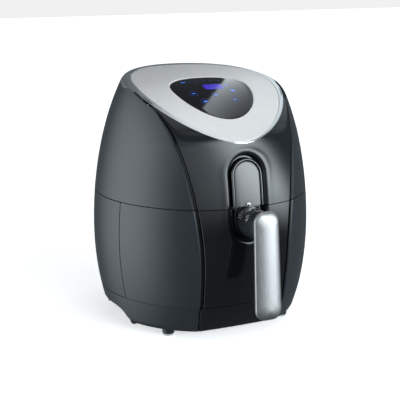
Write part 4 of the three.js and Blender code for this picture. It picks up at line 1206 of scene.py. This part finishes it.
def make_basket():
    outside, inside = tub_profile(6.0, 65.0, 156.0, 5.0)
    rows = [tub_ring(g, z) for g, z in outside + inside]
    walls = sheet(rows + [rows[0]], wrap=True)
    piece("basket_wall", *walls, "drawer", "nonstick", NONSTICK, ("basket",), sharp=60)
    outline = tub_ring(18.4, 66.0)
    middle = np.array([0.0, -10.0, 66.0])
    rings, sectors = 6, 60
    edge = np.array([outline[int(i * 120 / sectors) % 120] for i in range(sectors)])
    shares = np.linspace(0.1, 1.0, rings + 1)
    grid = np.stack([middle + (edge - middle) * s for s in shares])
    points, faces = [p for p in grid.reshape(-1, 3)], []
    for r in range(rings):
        for s in range(sectors):
            near, far, after = r * sectors, (r + 1) * sectors, (s + 1) % sectors
            corners = [near + s, near + after, far + after, far + s]
            slotted = 0 < r < rings - 1 and (s + r) % (4 if r == 1 else 3) == 0
            if not slotted:
                faces.append(tuple(corners))
                continue
            a, b, c, d = (np.array(points[i]) for i in corners)
            rim = []
            for turn in np.linspace(0, 2 * np.pi, 12, endpoint=False):
                u, v = 0.5 + 0.33 * math.cos(turn), 0.5 + 0.34 * math.sin(turn)
                rim.append(len(points))
                points.append(a * (1 - u) * (1 - v) + b * u * (1 - v) + c * u * v + d * (1 - u) * v)
            order = [7, 10, 1, 4]
            for k in range(4):
                first, last = order[k], order[(k + 1) % 4]
                count = (last - first) % 12
                arc = [rim[(first + m) % 12] for m in range(count + 1)]
                faces.append(tuple([corners[k]] + arc + [corners[(k + 1) % 4]]))
    points.append(middle)
    hub = len(points) - 1
    faces += [(hub, i, (i + 1) % sectors) for i in range(sectors)]
    obj = piece("basket_floor", np.array(points), faces, "drawer", "nonstick", NONSTICK, sharp=50,
                out_from=(0, -10, 0))
    thicken(obj, 1.2, 0.3)


# ---- pieces that keep their CAD shape -------------------------------------------------
CAD_LOOKS = {
    "drawer_frame": MATTE, "basket_bracket": STEEL, "chamber_liner": STEEL, "chamber_deck": STEEL,
    "heat_shield": STEEL, "motor": STEEL, "motor_bracket": STEEL, "motor_shaft": STEEL, "hot_air_fan": STEEL,
    "cooling_fan": MATTE, "control_board": BOARD, "power_board": BOARD, "thermal_cutout": MATTE,
    "drawer_switch": MATTE, "base_screw_1": STEEL, "base_screw_2": STEEL, "base_screw_3": STEEL,
    "base_screw_4": STEEL,
}


def finish_cad_nodes():
    for node, material in CAD_LOOKS.items():
        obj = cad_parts[node]
        obj.data.materials.clear()
        obj.data.materials.append(material)
        obj.data.shade_smooth()
        obj.data.set_sharp_from_angle(angle=math.radians(32))


def make_element():
    turns, steps, sides, wire = 2, 160, 16, 3.2
    rings = []
    for i in range(steps + 1):
        share = i / steps
        turn = turns * 2 * math.pi * share
        radius = 46 + 28 * share
        out = np.array([math.cos(turn), math.sin(turn), 0.0])
        centre = out * radius + (0, 0, 177.0)
        rings.append(wire_ring(centre, turn, wire, sides))
    piece("heating_element_tube", *loft(rings), "housing", "sheet_steel", STEEL, ("heating_element",))


# ---- stage, lights and camera -----------------------------------------------------------
WIDTH = CAD_HIGH.x - CAD_LOW.x
DEPTH = CAD_HIGH.y - CAD_LOW.y
HEIGHT = CAD_HIGH.z - CAD_LOW.z
AIM_SHARES = (-0.0611, -0.0303, 0.4930)         # aim point as shares of width, depth and height
CAMERA_AZIMUTH, CAMERA_ELEVATION = -25.5, 13.67
CAMERA_DISTANCE = 1.3                           # metres
CAMERA_LENS, CAMERA_SENSOR = 92.36, 36.0        # millimetres


def direction(azimuth, elevation):
    """Unit vector from the object towards an azimuth (0 is the front, -Y) and elevation."""
    a, e = math.radians(azimuth), math.radians(elevation)
    return Vector((math.sin(a) * math.cos(e), -math.cos(a) * math.cos(e), math.sin(e)))


def make_camera():
    data = bpy.data.cameras.new("camera")
    camera = bpy.data.objects.new("camera", data)
    bpy.context.scene.collection.objects.link(camera)
    aim = Vector([share * size for share, size in zip(AIM_SHARES, (WIDTH, DEPTH, HEIGHT))])
    away = direction(CAMERA_AZIMUTH, CAMERA_ELEVATION)
    camera.location = aim + away * CAMERA_DISTANCE
    camera.rotation_mode = "QUATERNION"
    camera.rotation_quaternion = (-away).to_track_quat("-Z", "Y")
    data.lens = CAMERA_LENS
    data.sensor_width = CAMERA_SENSOR
    data.clip_end = 50.0
    bpy.context.scene.camera = camera


def area_light(name, azimuth, elevation, distance, size, power):
    data = bpy.data.lights.new(name, "AREA")
    data.shape = "SQUARE"
    data.size = size
    data.energy = power
    light = bpy.data.objects.new(name, data)
    bpy.context.scene.collection.objects.link(light)
    target = Vector((0, 0, HEIGHT / 2))
    light.location = target + direction(azimuth, elevation) * distance
    light.rotation_mode = "QUATERNION"
    light.rotation_quaternion = (light.location - target).to_track_quat("Z", "Y")


def make_floor():
    size = 6.0
    mesh = bpy.data.meshes.new("floor")
    corners = [(-size, -size, 0), (size, -size, 0), (size, size, 0), (-size, size, 0)]
    mesh.from_pydata(corners, [], [(0, 1, 2, 3)])
    floor = bpy.data.objects.new("floor", mesh)
    bpy.context.scene.collection.objects.link(floor)
    material, nodes, links, bsdf = shader("floor_paper")
    cloud = noise(nodes, links, 3.0)
    vary_colour(nodes, links, bsdf, cloud, (0.88, 0.88, 0.88), (0.9, 0.9, 0.9))
    bsdf.inputs["Roughness"].default_value = 1.0
    bsdf.inputs["Specular IOR Level"].default_value = 0.0
    bsdf.inputs["Emission Color"].default_value = (1, 1, 1, 1)
    bsdf.inputs["Emission Strength"].default_value = FLOOR_GLOW
    mesh.materials.append(material)
    floor.visible_glossy = False
    floor.visible_diffuse = False
    floor.visible_shadow = False


def math_node(nodes, links, operation, first, second=None):
    node = nodes.new("ShaderNodeMath")
    node.operation = operation
    for socket, value in zip(node.inputs, (first, second)):
        if value is None:
            continue
        if isinstance(value, (int, float)):
            socket.default_value = value
        else:
            links.new(value, socket)
    return node.outputs[0]


def ramp_node(nodes, links, value, start, stop, low=0.0, high=1.0):
    """Smooth change from low to high while value goes from start to stop."""
    node = map_range(nodes, links, value, start, stop, low, high)
    node.interpolation_type = "SMOOTHSTEP"
    return node.outputs["Result"]


def softbox(nodes, links, azimuth, elevation, sides, heights, strength):
    """A lit patch of the studio: sides and heights are (dark, full, full, dark) angles in degrees."""
    rise = ramp_node(nodes, links, azimuth, sides[0], sides[1])
    fall = ramp_node(nodes, links, azimuth, sides[2], sides[3], 1.0, 0.0)
    lift = ramp_node(nodes, links, elevation, heights[0], heights[1])
    drop = ramp_node(nodes, links, elevation, heights[2], heights[3], 1.0, 0.0)
    across = math_node(nodes, links, "MULTIPLY", rise, fall)
    upright = math_node(nodes, links, "MULTIPLY", lift, drop)
    both = math_node(nodes, links, "MULTIPLY", across, upright)
    return math_node(nodes, links, "MULTIPLY", both, strength)


SOFTBOXES = (
    # lean of the box, sides, heights, strength
    (0.0, (-168, -104, -98, -50), (-56, -6, 12, 36), 3.3),       # tall light at the left
    (1.0, (-50, 30, 60, 82), (-12, 4, 24, 40), 1.7),             # wide light in front at the right
    (1.0, (8, 44, 54, 74), (-14, 2, 24, 40), 7.0),               # its bright middle
)
WINDOW_SIDE = (0.983, -0.171, -0.071)      # which way the window over the top lies
WINDOW_EDGE = 0.290                        # where its straight edge cuts the view from the glass
WINDOW_NEAR, WINDOW_FAR = 3.2, 0.8         # strength at the edge and away from it
BACKGROUND_LIGHT = 0.14                    # light from everywhere else
STUDIO_COLOUR = (0.86, 0.945, 1.0)
BACKDROP_STRENGTH = 1.1                    # white that only the camera sees
FLOOR_GLOW = 0.60                          # keeps the paper under the object white


def window(nodes, links, place, azimuth, elevation):
    """A big window behind the object with one sharp straight edge, brightest along that edge."""
    across = nodes.new("ShaderNodeVectorMath")
    across.operation = "DOT_PRODUCT"
    links.new(place, across.inputs[0])
    across.inputs[1].default_value = WINDOW_SIDE
    reach = across.outputs["Value"]
    sharp = ramp_node(nodes, links, reach, WINDOW_EDGE - 0.002, WINDOW_EDGE + 0.002)
    fade = ramp_node(nodes, links, reach, WINDOW_EDGE - 0.02, WINDOW_EDGE + 0.075, WINDOW_NEAR, WINDOW_FAR)
    above = ramp_node(nodes, links, elevation, 20, 26)
    behind = ramp_node(nodes, links, azimuth, 60, 105)
    patch = math_node(nodes, links, "MULTIPLY", sharp, fade)
    sides = math_node(nodes, links, "MULTIPLY", above, behind)
    return math_node(nodes, links, "MULTIPLY", patch, sides)


def make_world():
    """A soft studio: white where the camera sees it, with soft boxes round the object."""
    world = bpy.data.worlds.new("studio")
    bpy.context.scene.world = world
    world.use_nodes = True
    nodes, links = world.node_tree.nodes, world.node_tree.links
    nodes.clear()
    place = nodes.new("ShaderNodeTexCoord")
    split = nodes.new("ShaderNodeSeparateXYZ")
    links.new(place.outputs["Generated"], split.inputs[0])
    depth = math_node(nodes, links, "MULTIPLY", split.outputs["Y"], -1.0)
    turn = math_node(nodes, links, "ARCTAN2", split.outputs["X"], depth)
    azimuth = math_node(nodes, links, "MULTIPLY", turn, math.degrees(1.0))
    climb = math_node(nodes, links, "ARCSINE", split.outputs["Z"])
    elevation = math_node(nodes, links, "MULTIPLY", climb, math.degrees(1.0))
    total = window(nodes, links, place.outputs["Generated"], azimuth, elevation)
    for lean, sides, heights, strength in SOFTBOXES:
        shift = math_node(nodes, links, "MULTIPLY", elevation, lean)
        leaned = math_node(nodes, links, "ADD", azimuth, shift)
        lit = softbox(nodes, links, leaned, elevation, sides, heights, strength)
        total = math_node(nodes, links, "ADD", total, lit)
    total = math_node(nodes, links, "ADD", total, BACKGROUND_LIGHT)
    path = nodes.new("ShaderNodeLightPath")
    studio = nodes.new("ShaderNodeBackground")
    studio.inputs["Color"].default_value = (*STUDIO_COLOUR, 1)
    links.new(total, studio.inputs["Strength"])
    seen = nodes.new("ShaderNodeBackground")
    seen.inputs["Strength"].default_value = BACKDROP_STRENGTH
    mix = nodes.new("ShaderNodeMixShader")
    out = nodes.new("ShaderNodeOutputWorld")
    links.new(path.outputs["Is Camera Ray"], mix.inputs["Fac"])
    links.new(studio.outputs[0], mix.inputs[1])
    links.new(seen.outputs[0], mix.inputs[2])
    links.new(mix.outputs[0], out.inputs["Surface"])


def make_lights():
    area_light("top_softbox", -10, 80, 1.4, 1.2, 3.0)


make_camera()
make_world()
make_lights()
make_floor()
make_sides()
make_rear()
make_base()
make_feet()
make_drawer_fascia()
make_upper_fascia()
make_plaque()
make_ring()
make_plate()
make_glass()
make_display()
make_arm()
make_collar()
make_grip()
make_button()
make_spring()
make_guard()
make_pan()
make_basket()
make_element()
finish_cad_nodes()

bpy.context.scene.view_settings.view_transform = "Standard"
